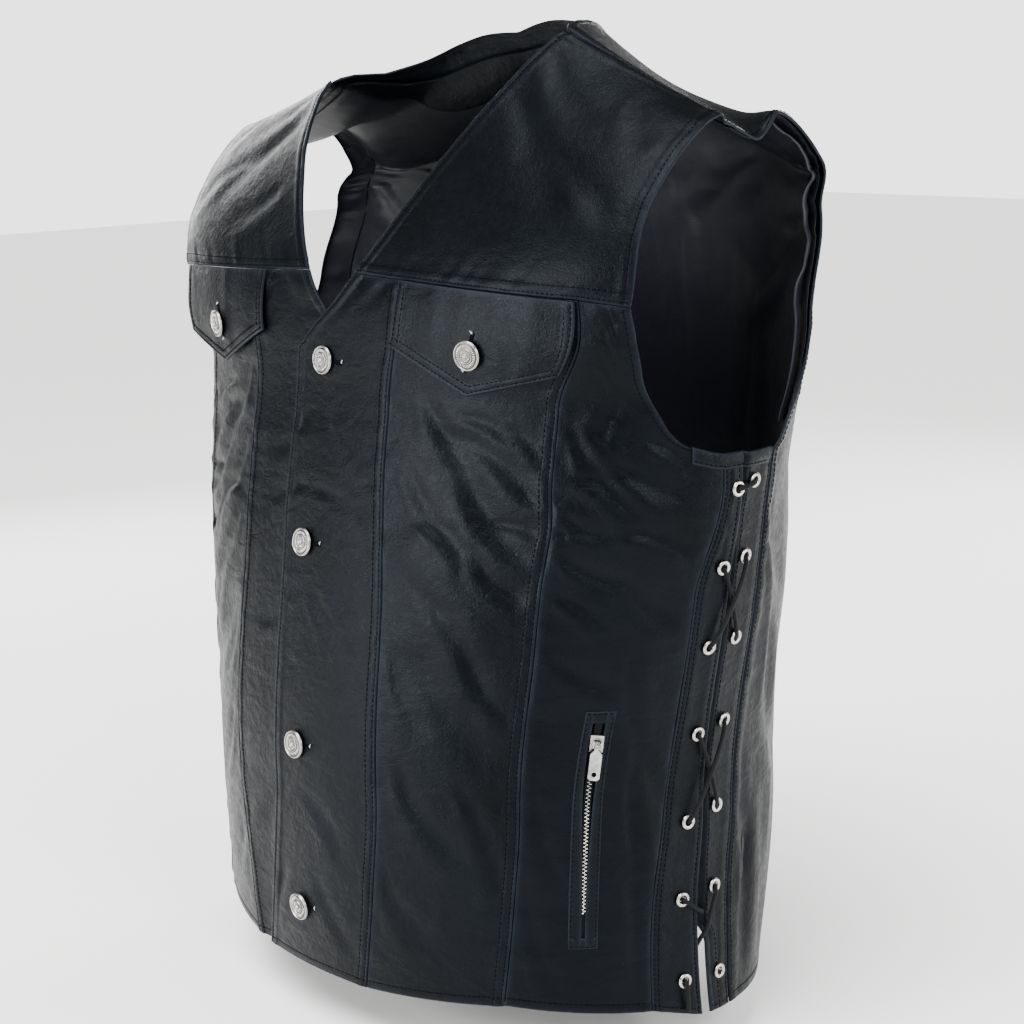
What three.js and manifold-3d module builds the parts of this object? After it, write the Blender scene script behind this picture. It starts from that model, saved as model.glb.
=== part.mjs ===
// A worn leather vest: four button front, yokes, two flapped chest pockets, two zipped
// welt pockets and laced sides. It keeps the rounded form of the body that wears it.
//
// Millimetres, +Z up. The front faces -Y and the wearer's left side is +X.
// The origin is midway between the two side neck points, where the shoulders carry the vest.

import * as THREE from 'three';
import { mergeVertices } from 'three/addons/utils/BufferGeometryUtils.js';
import Module from 'manifold-3d';

const wasm = await Module();
wasm.setup();

// Driving dimensions
const LEATHER = 2.0;
const SEAM_GAP = 0.3;
const LINING = 1.0;
const FACING = 1.4;
const SHOULDER_SLOPE = 0.40;
const SHOULDER_SWING = 0.20;
const SHOULDER_LIFT = 16;
const BUTTON_DIAMETER = 19;
const EYELET_DIAMETER = 9.8;
const EYELET_HOLE = 4.8;
const STRIP_HOLE = 7.0;
const LACE_DIAMETER = 3.0;
const ZIP_SLOT_WIDTH = 11;
const ZIP_SLOT_OVERRUN = 0.02;
const ZIP_TAPE_WIDTH = 24;
const PULL_LENGTH = 24;
const PULL_WIDTH = 7.5;
const PULL_THICKNESS = 1.4;
const PIN_RADIUS = 0.8;
const PIN_HEIGHT = 4.9;
const PIN_RISE = 0.5;
const SLIDER_SIZE = { width: 8.4, length: 11, thickness: 2.8, middle: 0.8 };
const LUG = { across: 2.6, width: 1.2, length: 4, height: 4.2, middle: 4.2 };
const FLAP_THICKNESS = 1.8;
const FLAP_STAND = { root: 0.9, edge: 0.5, left: 4.5, right: 9.5 };
const FOLD_SPAN = 3.5;

// Sections through the vest, from the hem up. Above the armholes they slope down to the
// sides and draw together at the shoulder seam. The last row of both tables is that seam.
const FRONT_SECTIONS = [
  { level: 0, height: -605, slope: 0, halfWidth: 228, sideY: 0, depth: 160, square: 2 },
  { level: 1, height: -465, slope: 0, halfWidth: 226, sideY: 0, depth: 166, square: 2 },
  { level: 2, height: -325, slope: 0, halfWidth: 248, sideY: 0, depth: 150, square: 2 },
  { level: 3, height: -250, slope: 0, halfWidth: 258, sideY: 0, depth: 138, square: 1.93 },
  { level: 3.5, height: -205, slope: 0, halfWidth: 258, sideY: 0, depth: 129, square: 2 },
  { level: 4, height: -160, slope: 0, halfWidth: 280, sideY: 0, depth: 125, square: 2.18 },
  { level: 5, height: -55, slope: 0.095, halfWidth: 254.5, sideY: -22.5, depth: 64.3, square: 3.92 },
  { level: 6, height: 22.4, slope: 0.251, halfWidth: 248, sideY: -30.5, depth: 20, square: 4.19 },
  { level: 7, height: 54, slope: 0.40, halfWidth: 245, sideY: -43, depth: 0, square: 2 },
];
const BACK_SECTIONS = [
  { level: 0, height: -605, slope: 0, halfWidth: 228, sideY: 0, depth: 158, square: 2 },
  { level: 1, height: -465, slope: 0, halfWidth: 226, sideY: 0, depth: 186, square: 2 },
  { level: 2, height: -325, slope: 0, halfWidth: 248, sideY: 0, depth: 175, square: 2 },
  { level: 3, height: -250, slope: 0, halfWidth: 258, sideY: 0, depth: 151, square: 2.1 },
  { level: 4, height: -160, slope: 0, halfWidth: 274, sideY: 0, depth: 135, square: 2.5 },
  { level: 5, height: -70, slope: 0.12, halfWidth: 262, sideY: 0, depth: 116, square: 3.5 },
  { level: 6, height: -7.7, slope: 0.296, halfWidth: 256, sideY: 12.2, depth: 77.8, square: 3.2 },
  { level: 7, height: 1.5, slope: 0.187, halfWidth: 249, sideY: 15.4, depth: 33.2, square: 2.6 },
  { level: 7.5, height: 43.2, slope: 0.401, halfWidth: 246, sideY: -21, depth: 11.4, square: 2 },
  { level: 8, height: 54, slope: 0.40, halfWidth: 245, sideY: -43, depth: 0, square: 2 },
];
// Where the back stands up: its armhole edge behind the shoulder, and beside the neck.
const BACK_RISES = [
  { across: 237.2, width: 19.8, level: 6.43, spread: 0.743, height: 16.7 },
  { across: 44.2, width: 67.2, level: 7.41, spread: 0.512, height: 41.2 },
];
const YOKE_ROW = 4.25;
const FRONT_TOP = 7;
const BACK_TOP = 8;
const STRIP_TOP = 3.17;

// Seams of one front, in degrees round the body from the centre front, row by row.
const FRONT_SEAMS = [
  { level: 0, placketEdge: -13.5, placket: 14.5, princess: 43, lacing: 73.5, frontEdge: 87.0 },
  { level: 0.5, placketEdge: -8.5, placket: 18.2, princess: 46.3, lacing: 74.4, frontEdge: 86.4 },
  { level: 1, placketEdge: -6, placket: 20, princess: 48, lacing: 77.6, frontEdge: 88.6 },
  { level: 1.5, placketEdge: -6, placket: 19, princess: 47.8, lacing: 79.3, frontEdge: 88.9 },
  { level: 2, placketEdge: -6, placket: 17.6, princess: 47, lacing: 78.8, frontEdge: 88.8 },
  { level: 2.5, placketEdge: -6.3, placket: 16.4, princess: 47, lacing: 81.3, frontEdge: 89.2 },
  { level: 3, placketEdge: -6.3, placket: 15.4, princess: 46.0, lacing: 82.8, frontEdge: 90.0 },
  { level: 3.5, placketEdge: -6.6, placket: 15.0, princess: 46.7, lacing: 82.8, frontEdge: 90.3 },
  { level: 4.25, placketEdge: -3, placket: 15.6, princess: 49.0, lacing: 82.8, frontEdge: 90.3 },
];
const BACK_SEAMS = [
  { level: 0, backEdge: 89.6, backSeam: 96.5 },
  { level: 0.5, backEdge: 88.5, backSeam: 95.8 },
  { level: 1, backEdge: 89.6, backSeam: 97.8 },
  { level: 1.5, backEdge: 89.8, backSeam: 98.3 },
  { level: 2, backEdge: 89.8, backSeam: 98.5 },
  { level: 3, backEdge: 90.7, backSeam: 99.5 },
  { level: 4, backEdge: 91, backSeam: 99.5 },
];
// The neckline, from the top of the placket to the shoulder seam.
const NECKLINE = [
  { level: 4.30, angle: 5.2 }, { level: 4.45, angle: 8 }, { level: 4.86, angle: 14.8 },
  { level: 5.31, angle: 20.6 }, { level: 5.79, angle: 25.2 }, { level: 6.22, angle: 27.6 },
  { level: 6.62, angle: 29.4 }, { level: 7, angle: 31 },
];
// The placket's slanted top, from its free edge up to the yoke.
const PLACKET_TOP = [
  { level: 3.80, angle: -5.4 }, { level: 3.93, angle: -2.9 }, { level: 4.12, angle: 1.7 },
  { level: 4.30, angle: 5.2 },
];
// The front armhole, from the lacing strip up to the yoke seam and on to the shoulder seam.
const FRONT_ARMHOLE = [
  { level: 3.17, angle: 82.8, row: 3.1 }, { level: 3.19, angle: 79.2, row: 3.2 },
  { level: 3.25, angle: 72.9, row: 3.3 }, { level: 3.33, angle: 69.4, row: 3.42 },
  { level: 3.50, angle: 66.0, row: 3.56 }, { level: 3.77, angle: 60.8, row: 3.8 },
  { level: 4.00, angle: 58.4, row: 4.0 }, { level: 4.20, angle: 58.9, row: 4.25 },
];
const YOKE_ARMHOLE = [
  { level: 4.20, angle: 58.9 }, { level: 4.46, angle: 63.0 }, { level: 4.70, angle: 66.2 },
  { level: 4.94, angle: 69.2 }, { level: 5.14, angle: 71.2 }, { level: 5.45, angle: 73.8 },
  { level: 5.86, angle: 76.4 }, { level: 7, angle: 77.5 },
];
// The sides of the back above the lacing strips, as half widths in millimetres. The right one
// comes further forward, as the vest sits on the figure.
const BACK_ARMHOLE_RIGHT = [
  { level: 3.17, halfWidth: 255 }, { level: 3.4, halfWidth: 259 }, { level: 3.7, halfWidth: 260 },
  { level: 4, halfWidth: 258 }, { level: 4.5, halfWidth: 255 }, { level: 5, halfWidth: 253.5 },
  { level: 5.6, halfWidth: 250 }, { level: 6.2, halfWidth: 245 }, { level: 7.2, halfWidth: 241 },
  { level: 8, halfWidth: 239.2 },
];
const BACK_ARMHOLE_LEFT = [
  { level: 3.17, halfWidth: 255 }, { level: 3.4, halfWidth: 256 }, { level: 3.7, halfWidth: 253 },
  { level: 4, halfWidth: 247 }, { level: 4.5, halfWidth: 240 }, { level: 5, halfWidth: 236 },
  { level: 6.2, halfWidth: 238 }, { level: 7.2, halfWidth: 240 }, { level: 8, halfWidth: 239.2 },
];
// The back neck edge: share of the back's half width, and the section it reaches.
const BACK_NECK = [
  { share: 0, level: 6.93 }, { share: 0.12, level: 7.02 }, { share: 0.25, level: 7.09 },
  { share: 0.36, level: 7.178 }, { share: 0.46, level: 7.41 }, { share: 0.528, level: 8 },
  { share: 1, level: 8 },
];
// The hem's rise above section 0, by degrees round the body.
const HEM = [
  { angle: -14, level: -0.05 }, { angle: 5, level: 0.0 }, { angle: 24, level: 0.025 },
  { angle: 44, level: 0.065 }, { angle: 60, level: 0.07 }, { angle: 73, level: 0.025 },
  { angle: 80, level: -0.03 }, { angle: 90, level: -0.06 }, { angle: 97, level: -0.06 },
  { angle: 115, level: -0.07 }, { angle: 180, level: -0.03 },
];
const YOKE_SEAM = [
  { angle: 5.2, level: 4.30 }, { angle: 15.6, level: 4.285 }, { angle: 49.0, level: 4.235 },
  { angle: 58.9, level: 4.20 },
];
// The largest folds: each a soft trough (or ridge, where the depth is negative) along a line.
const FOLDS = [
  { angle: 24, level: 3.3, endAngle: 41, endLevel: 2.5, width: 13, depth: 2.6 },
  { angle: 21, level: 2.5, endAngle: 40, endLevel: 1.7, width: 15, depth: -2.4 },
  { angle: 23, level: 1.7, endAngle: 43, endLevel: 1.2, width: 12, depth: 2.2 },
  { angle: 52, level: 3.3, endAngle: 68, endLevel: 2.6, width: 14, depth: -2.2 },
  { angle: 52, level: 2.2, endAngle: 75, endLevel: 1.9, width: 12, depth: 2.4 },
  { angle: 68, level: 1.8, endAngle: 76, endLevel: 0.5, width: 11, depth: -1.8 },
  { angle: 26, level: 5.7, endAngle: 46, endLevel: 4.8, width: 16, depth: 2.0 },
  { angle: 106, level: 2.9, endAngle: 124, endLevel: 1.2, width: 16, depth: 3.0 },
  { angle: 118, level: 1.9, endAngle: 112, endLevel: 0.2, width: 14, depth: -3.0 },
  { angle: 150, level: 4.6, endAngle: 128, endLevel: 3.2, width: 18, depth: 3.0 },
  { angle: 160, level: 1.4, endAngle: 140, endLevel: 0.5, width: 18, depth: 2.6 },
];
// Eyelets from the top down: degrees and section of the front and the back one of each pair.
const EYELETS = [
  { frontAngle: 87.6, frontLevel: 2.91, backAngle: 93.4, backLevel: 2.95 },
  { frontAngle: 85.8, frontLevel: 2.20, backAngle: 92.8, backLevel: 2.26 },
  { frontAngle: 84.8, frontLevel: 1.71, backAngle: 92.8, backLevel: 1.73 },
  { frontAngle: 85.4, frontLevel: 1.31, backAngle: 93.0, backLevel: 1.34 },
  { frontAngle: 83.8, frontLevel: 0.91, backAngle: 92.2, backLevel: 0.95 },
  { frontAngle: 82.0, frontLevel: 0.54, backAngle: 91.4, backLevel: 0.56 },
  { frontAngle: 82.0, frontLevel: 0.14, backAngle: 92.6, backLevel: 0.13 },
];
const FRONT_BUTTONS = [
  { name: 'button_1', angle: 0.6, level: 3.71 },
  { name: 'button_2', angle: -0.4, level: 2.21 },
  { name: 'button_3', angle: 0.8, level: 1.16 },
  { name: 'button_4', angle: -0.4, level: 0.33 },
];
const POCKET_BUTTON = { angle: 29.5, level: 3.86 };
const ZIP = { topAngle: 62.0, topLevel: 1.43, endAngle: 59.4, endLevel: 0.40 };
const SLIDER = { angle: 61.9, level: 1.33 };
const LABEL = { angle: 208, halfAngle: 6, top: 6.05, bottom: 5.3 };

// Reads one column of a table at a place between its rows, smoothly and with no overshoot.
function smooth(rows, from, to, place) {
  const x = rows.map((row) => row[from]);
  const y = rows.map((row) => row[to]);
  const last = x.length - 1;
  const step = (i) => x[i + 1] - x[i];
  const slope = (i) => (y[i + 1] - y[i]) / step(i);
  const endTangent = (near, far, hNear, hFar) => {
    const tangent = ((2 * hNear + hFar) * near - hNear * far) / (hNear + hFar);
    if (tangent * near <= 0) return 0;
    if (near * far <= 0 && Math.abs(tangent) > 3 * Math.abs(near)) return 3 * near;
    return tangent;
  };
  const tangent = (i) => {
    if (last === 1) return slope(0);
    if (i === 0) return endTangent(slope(0), slope(1), step(0), step(1));
    if (i === last) {
      return endTangent(slope(last - 1), slope(last - 2), step(last - 1), step(last - 2));
    }
    if (slope(i - 1) * slope(i) <= 0) return 0;
    const before = 2 * step(i) + step(i - 1);
    const after = step(i) + 2 * step(i - 1);
    return (before + after) / (before / slope(i - 1) + after / slope(i));
  };
  if (place <= x[0]) return y[0] + tangent(0) * (place - x[0]);
  if (place >= x[last]) return y[last] + tangent(last) * (place - x[last]);
  let i = 0;
  while (place > x[i + 1]) i += 1;
  const h = step(i);
  const t = (place - x[i]) / h;
  return y[i] * (1 + 2 * t) * (1 - t) ** 2
    + y[i + 1] * t * t * (3 - 2 * t)
    + h * tangent(i) * t * (1 - t) ** 2
    + h * tangent(i + 1) * t * t * (t - 1);
}

function mix(a, b, share) {
  return a + (b - a) * share;
}

function ease(value) {
  const t = THREE.MathUtils.clamp(value, 0, 1);
  return t * t * (3 - 2 * t);
}

const halfTurn = (angle) => THREE.MathUtils.euclideanModulo(angle + 180, 360) - 180;
const sectionsAt = (angle) => (Math.abs(halfTurn(angle)) <= 90 ? FRONT_SECTIONS : BACK_SECTIONS);

// The depth of all folds at a place, in millimetres inwards. Both sides of the vest fold alike.
// Folds run on a flat map of the leather, FOLD_SPAN millimetres to the degree.
function foldDepth(angle, level) {
  const place = new THREE.Vector2(Math.abs(halfTurn(angle)) * FOLD_SPAN, 0);
  place.y = smooth(FRONT_SECTIONS, 'level', 'height', Math.min(level, FRONT_TOP));
  let depth = 0;
  for (const fold of FOLDS) {
    const start = new THREE.Vector2(fold.angle * FOLD_SPAN, 0);
    start.y = smooth(FRONT_SECTIONS, 'level', 'height', fold.level);
    const end = new THREE.Vector2(fold.endAngle * FOLD_SPAN, 0);
    end.y = smooth(FRONT_SECTIONS, 'level', 'height', fold.endLevel);
    const line = end.clone().sub(start);
    const share = place.clone().sub(start).dot(line) / line.lengthSq();
    const aside = start.clone().addScaledVector(line, share).distanceTo(place) / fold.width;
    const taper = ease(share / 0.3 + 0.3) * ease((1 - share) / 0.3 + 0.3);
    depth += fold.depth * Math.exp(-aside * aside) * taper;
  }
  return depth;
}

function backRise(x, level) {
  return BACK_RISES.reduce((sum, rise) => {
    const left = Math.exp(-(((x - rise.across) / rise.width) ** 2));
    const right = Math.exp(-(((x + rise.across) / rise.width) ** 2));
    const near = Math.exp(-(((level - rise.level) / rise.spread) ** 2));
    return sum + rise.height * (left + right) * near;
  }, 0);
}

// A point of the vest's outer face, by degrees round the body and section.
function bodyPoint(angle, level) {
  const sections = sectionsAt(angle);
  const at = (key) => smooth(sections, 'level', key, level);
  const side = Math.sin(THREE.MathUtils.degToRad(angle));
  const square = at('square');
  const ahead = (sections === FRONT_SECTIONS ? 1 : -1)
    * Math.max(1 - Math.abs(side) ** square, 0) ** (1 / square);
  const x = at('halfWidth') * side;
  const slope = at('slope');
  const rise = slope / SHOULDER_SLOPE;
  const outer = THREE.MathUtils.clamp((Math.abs(x) - 130) / 110, 0, 1);
  const lift = SHOULDER_LIFT * Math.tanh(x / 60) * (1 - 0.75 * outer);
  const flare = sections === FRONT_SECTIONS ? 0 : backRise(x, level);
  return new THREE.Vector3(
    x,
    at('sideY') + rise * SHOULDER_SWING * Math.abs(x) - at('depth') * ahead,
    at('height') - slope * Math.abs(x) + rise * lift + flare,
  );
}

// The outward normal and the upward direction along the leather at a place.
function bodyFrame(angle, level) {
  const top = sectionsAt(angle) === FRONT_SECTIONS ? FRONT_TOP : BACK_TOP;
  const seat = Math.min(level, top - 0.02);
  const round = bodyPoint(angle + 0.4, seat).sub(bodyPoint(angle - 0.4, seat));
  const up = bodyPoint(angle, seat + 0.02).sub(bodyPoint(angle, seat - 0.02)).normalize();
  const normal = round.cross(up).normalize();
  return { normal, up };
}

// A point at a height over (or under) the outer face, with the folds.
function place(angle, level, height) {
  const { normal } = bodyFrame(angle, level);
  return bodyPoint(angle, level).addScaledVector(normal, height - foldDepth(angle, level));
}

// Degrees round the body that span one millimetre of leather there.
function degreesPerMillimetre(angle, level) {
  return 1 / bodyPoint(angle + 0.5, level).distanceTo(bodyPoint(angle - 0.5, level));
}

function levelsPerMillimetre(angle, level) {
  return 0.04 / bodyPoint(angle, level).distanceTo(bodyPoint(angle, level - 0.04));
}

// A closed mesh from vertices and triangles.
function solidMesh(name, points, triangles, material) {
  const geometry = new THREE.BufferGeometry();
  const positions = points.flatMap((point) => [point.x, point.y, point.z]);
  geometry.setAttribute('position', new THREE.Float32BufferAttribute(positions, 3));
  geometry.setIndex(triangles.flat());
  geometry.computeVertexNormals();
  const mesh = new THREE.Mesh(geometry, material);
  mesh.name = name;
  return mesh;
}

// A wall of leather or cloth from a grid of places. Rows run up, columns run to the wearer's
// left in front. Heights are of the inner and outer face, as numbers or by row and column.
function wall(name, grid, inner, outer, material) {
  const rows = grid.length;
  const columns = grid[0].length;
  const heightOf = (height, r, c) => (typeof height === 'function' ? height(r, c, grid[r][c]) : height);
  const points = [];
  for (const height of [inner, outer]) {
    for (let r = 0; r < rows; r += 1) {
      for (let c = 0; c < columns; c += 1) {
        points.push(place(grid[r][c].angle, grid[r][c].level, heightOf(height, r, c)));
      }
    }
  }
  const inside = (r, c) => r * columns + c;
  const outside = (r, c) => rows * columns + r * columns + c;
  const triangles = [];
  const quad = (a, b, c, d) => triangles.push([a, b, c], [a, c, d]);
  for (let r = 0; r < rows - 1; r += 1) {
    for (let c = 0; c < columns - 1; c += 1) {
      quad(outside(r, c), outside(r, c + 1), outside(r + 1, c + 1), outside(r + 1, c));
      quad(inside(r, c), inside(r + 1, c), inside(r + 1, c + 1), inside(r, c + 1));
    }
    quad(inside(r, 0), outside(r, 0), outside(r + 1, 0), inside(r + 1, 0));
    const c = columns - 1;
    quad(outside(r, c), inside(r, c), inside(r + 1, c), outside(r + 1, c));
  }
  for (let c = 0; c < columns - 1; c += 1) {
    quad(inside(0, c), inside(0, c + 1), outside(0, c + 1), outside(0, c));
    const r = rows - 1;
    quad(outside(r, c), outside(r, c + 1), inside(r, c + 1), inside(r, c));
  }
  return solidMesh(name, points, triangles, material);
}

const even = (count) => Array.from({ length: count + 1 }, (_, i) => i / count);

// Rows of places between a left and a right edge, each edge held back by half a seam gap.
function ruledGrid(leftEdge, rightEdge, columns, gapAbove) {
  const last = leftEdge.length - 1;
  return leftEdge.map((left, r) => {
    const right = rightEdge[r];
    const back = SEAM_GAP / 2;
    const start = left.angle + back * degreesPerMillimetre(left.angle, left.level);
    const end = right.angle - back * degreesPerMillimetre(right.angle, right.level);
    const shares = typeof columns === 'function' ? columns(left, right, left.level) : even(columns);
    return shares.map((share) => {
      const angle = mix(start, end, share);
      const level = mix(left.level, right.level, share);
      const drop = r === last ? gapAbove * levelsPerMillimetre(angle, level) : 0;
      return { angle, level: level - drop };
    });
  });
}

// The same grid on the other side of the body, with its columns still running the same way.
function mirrored(grid) {
  return grid.map((row) => row.map(({ angle, level }) => ({ angle: -angle, level })).reverse());
}

const onSide = (side, grid) => (side === 'left' ? grid : mirrored(grid));
const hemLevel = (angle) => smooth(HEM, 'angle', 'level', Math.abs(halfTurn(angle)));
const yokeLevel = (angle) => smooth(YOKE_SEAM, 'angle', 'level', Math.abs(angle));

// Section rows: those below the armholes are shared by all panels and the lacing strips.
const LOWER_ROWS = [0, 0.3, 0.6, 0.95, 1.3, 1.65, 2, 2.35, 2.7, 2.95];
const PANEL_ROWS = [...LOWER_ROWS, ...FRONT_ARMHOLE.map((row) => row.row)];
const PANEL_COLUMNS = { placket: 4, centre: 6, side: 6 };

// A seam under the yoke: its places row by row, from the hem to the yoke seam.
function seamPlaces(rows, key, stretch = 1) {
  return rows.map((level) => {
    const angle = smooth(FRONT_SEAMS, 'level', key, level) * stretch;
    const share = level / YOKE_ROW;
    const rise = (1 - share) * hemLevel(angle) + share * (yokeLevel(angle) - YOKE_ROW);
    return { angle, level: level + rise };
  });
}

// The placket's free edge: straight up from the hem, then slanting to the yoke.
function placketEdgePlaces() {
  const straight = PANEL_ROWS.filter((level) => level < 3.75);
  const slanted = PANEL_ROWS.length - straight.length;
  const places = straight.map((level) => {
    const angle = smooth(FRONT_SEAMS, 'level', 'placketEdge', level);
    return { angle, level: level + (1 - level / YOKE_ROW) * hemLevel(Math.max(angle, -14)) };
  });
  const [corner, top] = [PLACKET_TOP[0].level, PLACKET_TOP[PLACKET_TOP.length - 1].level];
  for (let i = 0; i < slanted; i += 1) {
    const level = mix(corner, top, i / (slanted - 1));
    places.push({ angle: smooth(PLACKET_TOP, 'level', 'angle', level), level });
  }
  return places;
}

// The side panel's outer edge: the lacing seam, then the armhole up to the yoke.
function sideEdgePlaces() {
  const seam = LOWER_ROWS.map((level) => {
    const angle = smooth(FRONT_SEAMS, 'level', 'lacing', level);
    return { angle, level: level + (1 - level / YOKE_ROW) * hemLevel(angle) };
  });
  return [...seam, ...FRONT_ARMHOLE.map(({ angle, level }) => ({ angle, level }))];
}

const leather = (colour) => new THREE.MeshStandardMaterial({
  color: colour, roughness: 0.45, metalness: 0,
});
const metal = (colour, roughness) => new THREE.MeshStandardMaterial({
  color: colour, roughness, metalness: 1,
});

const vest = new THREE.Group();
const BACK_ANGLE = 180;

// Where the right front's placket dips under the left one.
const rightSeamAngle = (level) => Math.max(smooth(FRONT_SEAMS, 'level', 'placket', level) + 1.5, 19);
const coverAngle = (level) => smooth(FRONT_SEAMS, 'level', 'placketEdge', level) - 1.2;

function underlap(angle, level) {
  const seam = -rightSeamAngle(level);
  const across = ease((angle - seam) / (coverAngle(level) - seam));
  return -(LEATHER + 1) * across * ease((4.28 - level) / 0.24);
}

// The right placket's columns meet the line where the left front starts to cover it.
function underlapShares(left, right, level) {
  const covered = (-coverAngle(level) - left.angle) / (right.angle - left.angle);
  const share = mix(Math.min(covered, 0.9), 0.75, ease((level - 3.9) / 0.35));
  return [0, share / 3, share * 2 / 3, share, 1];
}

// Front panels under the yoke, cut alike on both sides but for the right placket's seam.
function frontPanels(side) {
  const placketSeam = seamPlaces(PANEL_ROWS, 'placket');
  const princess = seamPlaces(PANEL_ROWS, 'princess');
  const seam = side === 'left' ? placketSeam : placketSeam.map(({ angle, level }, r) => ({
    angle: mix(rightSeamAngle(PANEL_ROWS[r]), angle, ease((PANEL_ROWS[r] - 3.9) / 0.35)),
    level,
  }));
  const placketHeights = side === 'left'
    ? [-LEATHER, 0]
    : [-LEATHER, 0].map((h) => (r, c, { angle, level }) => h + underlap(angle, level));
  const columns = side === 'left' ? PANEL_COLUMNS.placket : underlapShares;
  const placket = ruledGrid(placketEdgePlaces(), seam, columns, SEAM_GAP / 2);
  vest.add(wall(`placket_${side}`, onSide(side, placket), ...placketHeights, leather(0x17191d)));
  const centre = ruledGrid(seam, princess, PANEL_COLUMNS.centre, SEAM_GAP / 2);
  vest.add(wall(`front_centre_${side}`, onSide(side, centre), -LEATHER, 0, leather(0x191b20)));
  const outer = ruledGrid(princess, sideEdgePlaces(), PANEL_COLUMNS.side, SEAM_GAP / 2);
  const panel = wall(`front_side_${side}`, onSide(side, outer), -LEATHER, 0, leather(0x1a1c21));
  vest.add(cut(panel, [zipSlotCutter(side)]));
}

// Columns of the yoke's lower edge, which meet the columns of the three panels under it.
const YOKE_STOPS = [5.2, 15.6, 49.0, 58.9];

function yokeBottom() {
  const counts = [PANEL_COLUMNS.placket, PANEL_COLUMNS.centre, PANEL_COLUMNS.side];
  const places = [{ angle: YOKE_STOPS[0], level: yokeLevel(YOKE_STOPS[0]) }];
  counts.forEach((count, part) => {
    const [from, to] = [YOKE_STOPS[part], YOKE_STOPS[part + 1]];
    for (let i = 1; i <= count; i += 1) {
      const level = mix(yokeLevel(from), yokeLevel(to), i / count);
      places.push({ angle: mix(from, to, i / count), level });
    }
  });
  return places;
}

function frontYoke(side) {
  const levels = [4.27, 4.5, 4.8, 5.1, 5.4, 5.75, 6.1, 6.45, 6.75, 7];
  const bottom = yokeBottom();
  const width = YOKE_STOPS[3] - YOKE_STOPS[0];
  const back = SEAM_GAP / 2;
  const grid = levels.map((level, r) => {
    const start = smooth(NECKLINE, 'level', 'angle', Math.max(level, 4.3));
    const end = smooth(YOKE_ARMHOLE, 'level', 'angle', level);
    return bottom.map((foot) => {
      if (r === 0) {
        const rise = back * levelsPerMillimetre(foot.angle, foot.level);
        return { angle: foot.angle, level: foot.level + rise };
      }
      const angle = mix(start, end, (foot.angle - YOKE_STOPS[0]) / width);
      const drop = r === levels.length - 1 ? back * levelsPerMillimetre(angle, level) : 0;
      return { angle, level: level - drop };
    });
  });
  vest.add(wall(`front_yoke_${side}`, onSide(side, grid), -LEATHER, 0, leather(0x16181c)));
}

// Half width of one side of the back at a section, on the lacing seam or the armhole.
function backHalfWidth(level, share = 1) {
  const seam = smooth(BACK_SEAMS, 'level', 'backSeam', Math.min(level, STRIP_TOP));
  if (level <= STRIP_TOP) return bodyPoint(seam, level).x;
  const armhole = share < 0 ? BACK_ARMHOLE_RIGHT : BACK_ARMHOLE_LEFT;
  return smooth(armhole, 'level', 'halfWidth', level);
}

// Degrees round the body of a place on the back, given its distance from the centre line.
function backAngle(x, level) {
  const halfWidth = smooth(BACK_SECTIONS, 'level', 'halfWidth', level);
  const share = Math.min(Math.abs(x) / halfWidth, 0.9995);
  return BACK_ANGLE - Math.sign(x) * THREE.MathUtils.radToDeg(Math.asin(share));
}

const neckLevel = (share) => smooth(BACK_NECK, 'share', 'level', Math.abs(share));

// Places over the back: columns are shares of its half width, rows run from hem to neck.
function backGrid(rows, shares) {
  const bend = 4.5;
  const gapLevel = SEAM_GAP / 2 * levelsPerMillimetre(150, 7.9);
  return rows.map((row) => shares.map((share) => {
    const hem = hemLevel(backAngle(share * backHalfWidth(0), 0));
    let level = mix(hem, bend, row / bend);
    if (row > bend) {
      level = mix(bend, neckLevel(share) - gapLevel, (row - bend) / (BACK_TOP - bend));
    }
    const x = share * (backHalfWidth(level, share) - SEAM_GAP / 2 * Math.abs(share));
    return { angle: backAngle(x, level), level };
  }));
}

const NECK_SHARE = 0.528;
const SELVEDGE_SHARE = 0.985;
const HALF_SHARES = [0, 0.12, 0.25, 0.36, 0.46, NECK_SHARE, 0.65, 0.77, 0.89, SELVEDGE_SHARE, 1];
const BACK_SHARES = [...HALF_SHARES.slice(1).reverse(),
  ...HALF_SHARES.map((share) => -share)];
const BACK_ROWS = [...LOWER_ROWS, STRIP_TOP, 3.45, 3.75, 4.1, 4.5, 5, 5.5, 6, 6.5, 6.9, 7.25, 7.55,
  7.8, BACK_TOP];

function backPanel() {
  vest.add(wall('back_panel', backGrid(BACK_ROWS, BACK_SHARES), -LEATHER, 0, leather(0x15171a)));
}

// Inside the back: a satin lining below a leather neck facing, and a bare sewn label.
function backInside() {
  const outer = -LEATHER - SEAM_GAP;
  const liningRows = BACK_ROWS.slice(1, -1);
  const liningShares = BACK_SHARES.filter((share) => Math.abs(share) <= SELVEDGE_SHARE);
  const satin = new THREE.MeshStandardMaterial({ color: 0x08090b, roughness: 0.3, metalness: 0 });
  const lining = backGrid(liningRows, liningShares);
  vest.add(wall('lining', lining, outer - LINING, outer, satin));

  const facingOuter = outer - LINING - SEAM_GAP;
  const facingRows = liningRows.filter((row) => row >= 7.25);
  const facing = backGrid(facingRows, BACK_SHARES.filter((share) => Math.abs(share) < 0.6));
  vest.add(wall('neck_facing', facing, facingOuter - FACING, facingOuter, leather(0x121316)));

  const labelRows = [0, 1 / 3, 2 / 3, 1].map((row) => [-1, -0.5, 0, 0.5, 1].map((side) => ({
    angle: LABEL.angle + side * LABEL.halfAngle, level: mix(LABEL.bottom, LABEL.top, row),
  })));
  const labelOuter = facingOuter - 2.2;
  const woven = new THREE.MeshStandardMaterial({ color: 0x0b0b0d, roughness: 0.8, metalness: 0 });
  vest.add(wall('label', labelRows, labelOuter - LINING, labelOuter, woven));
}

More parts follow.
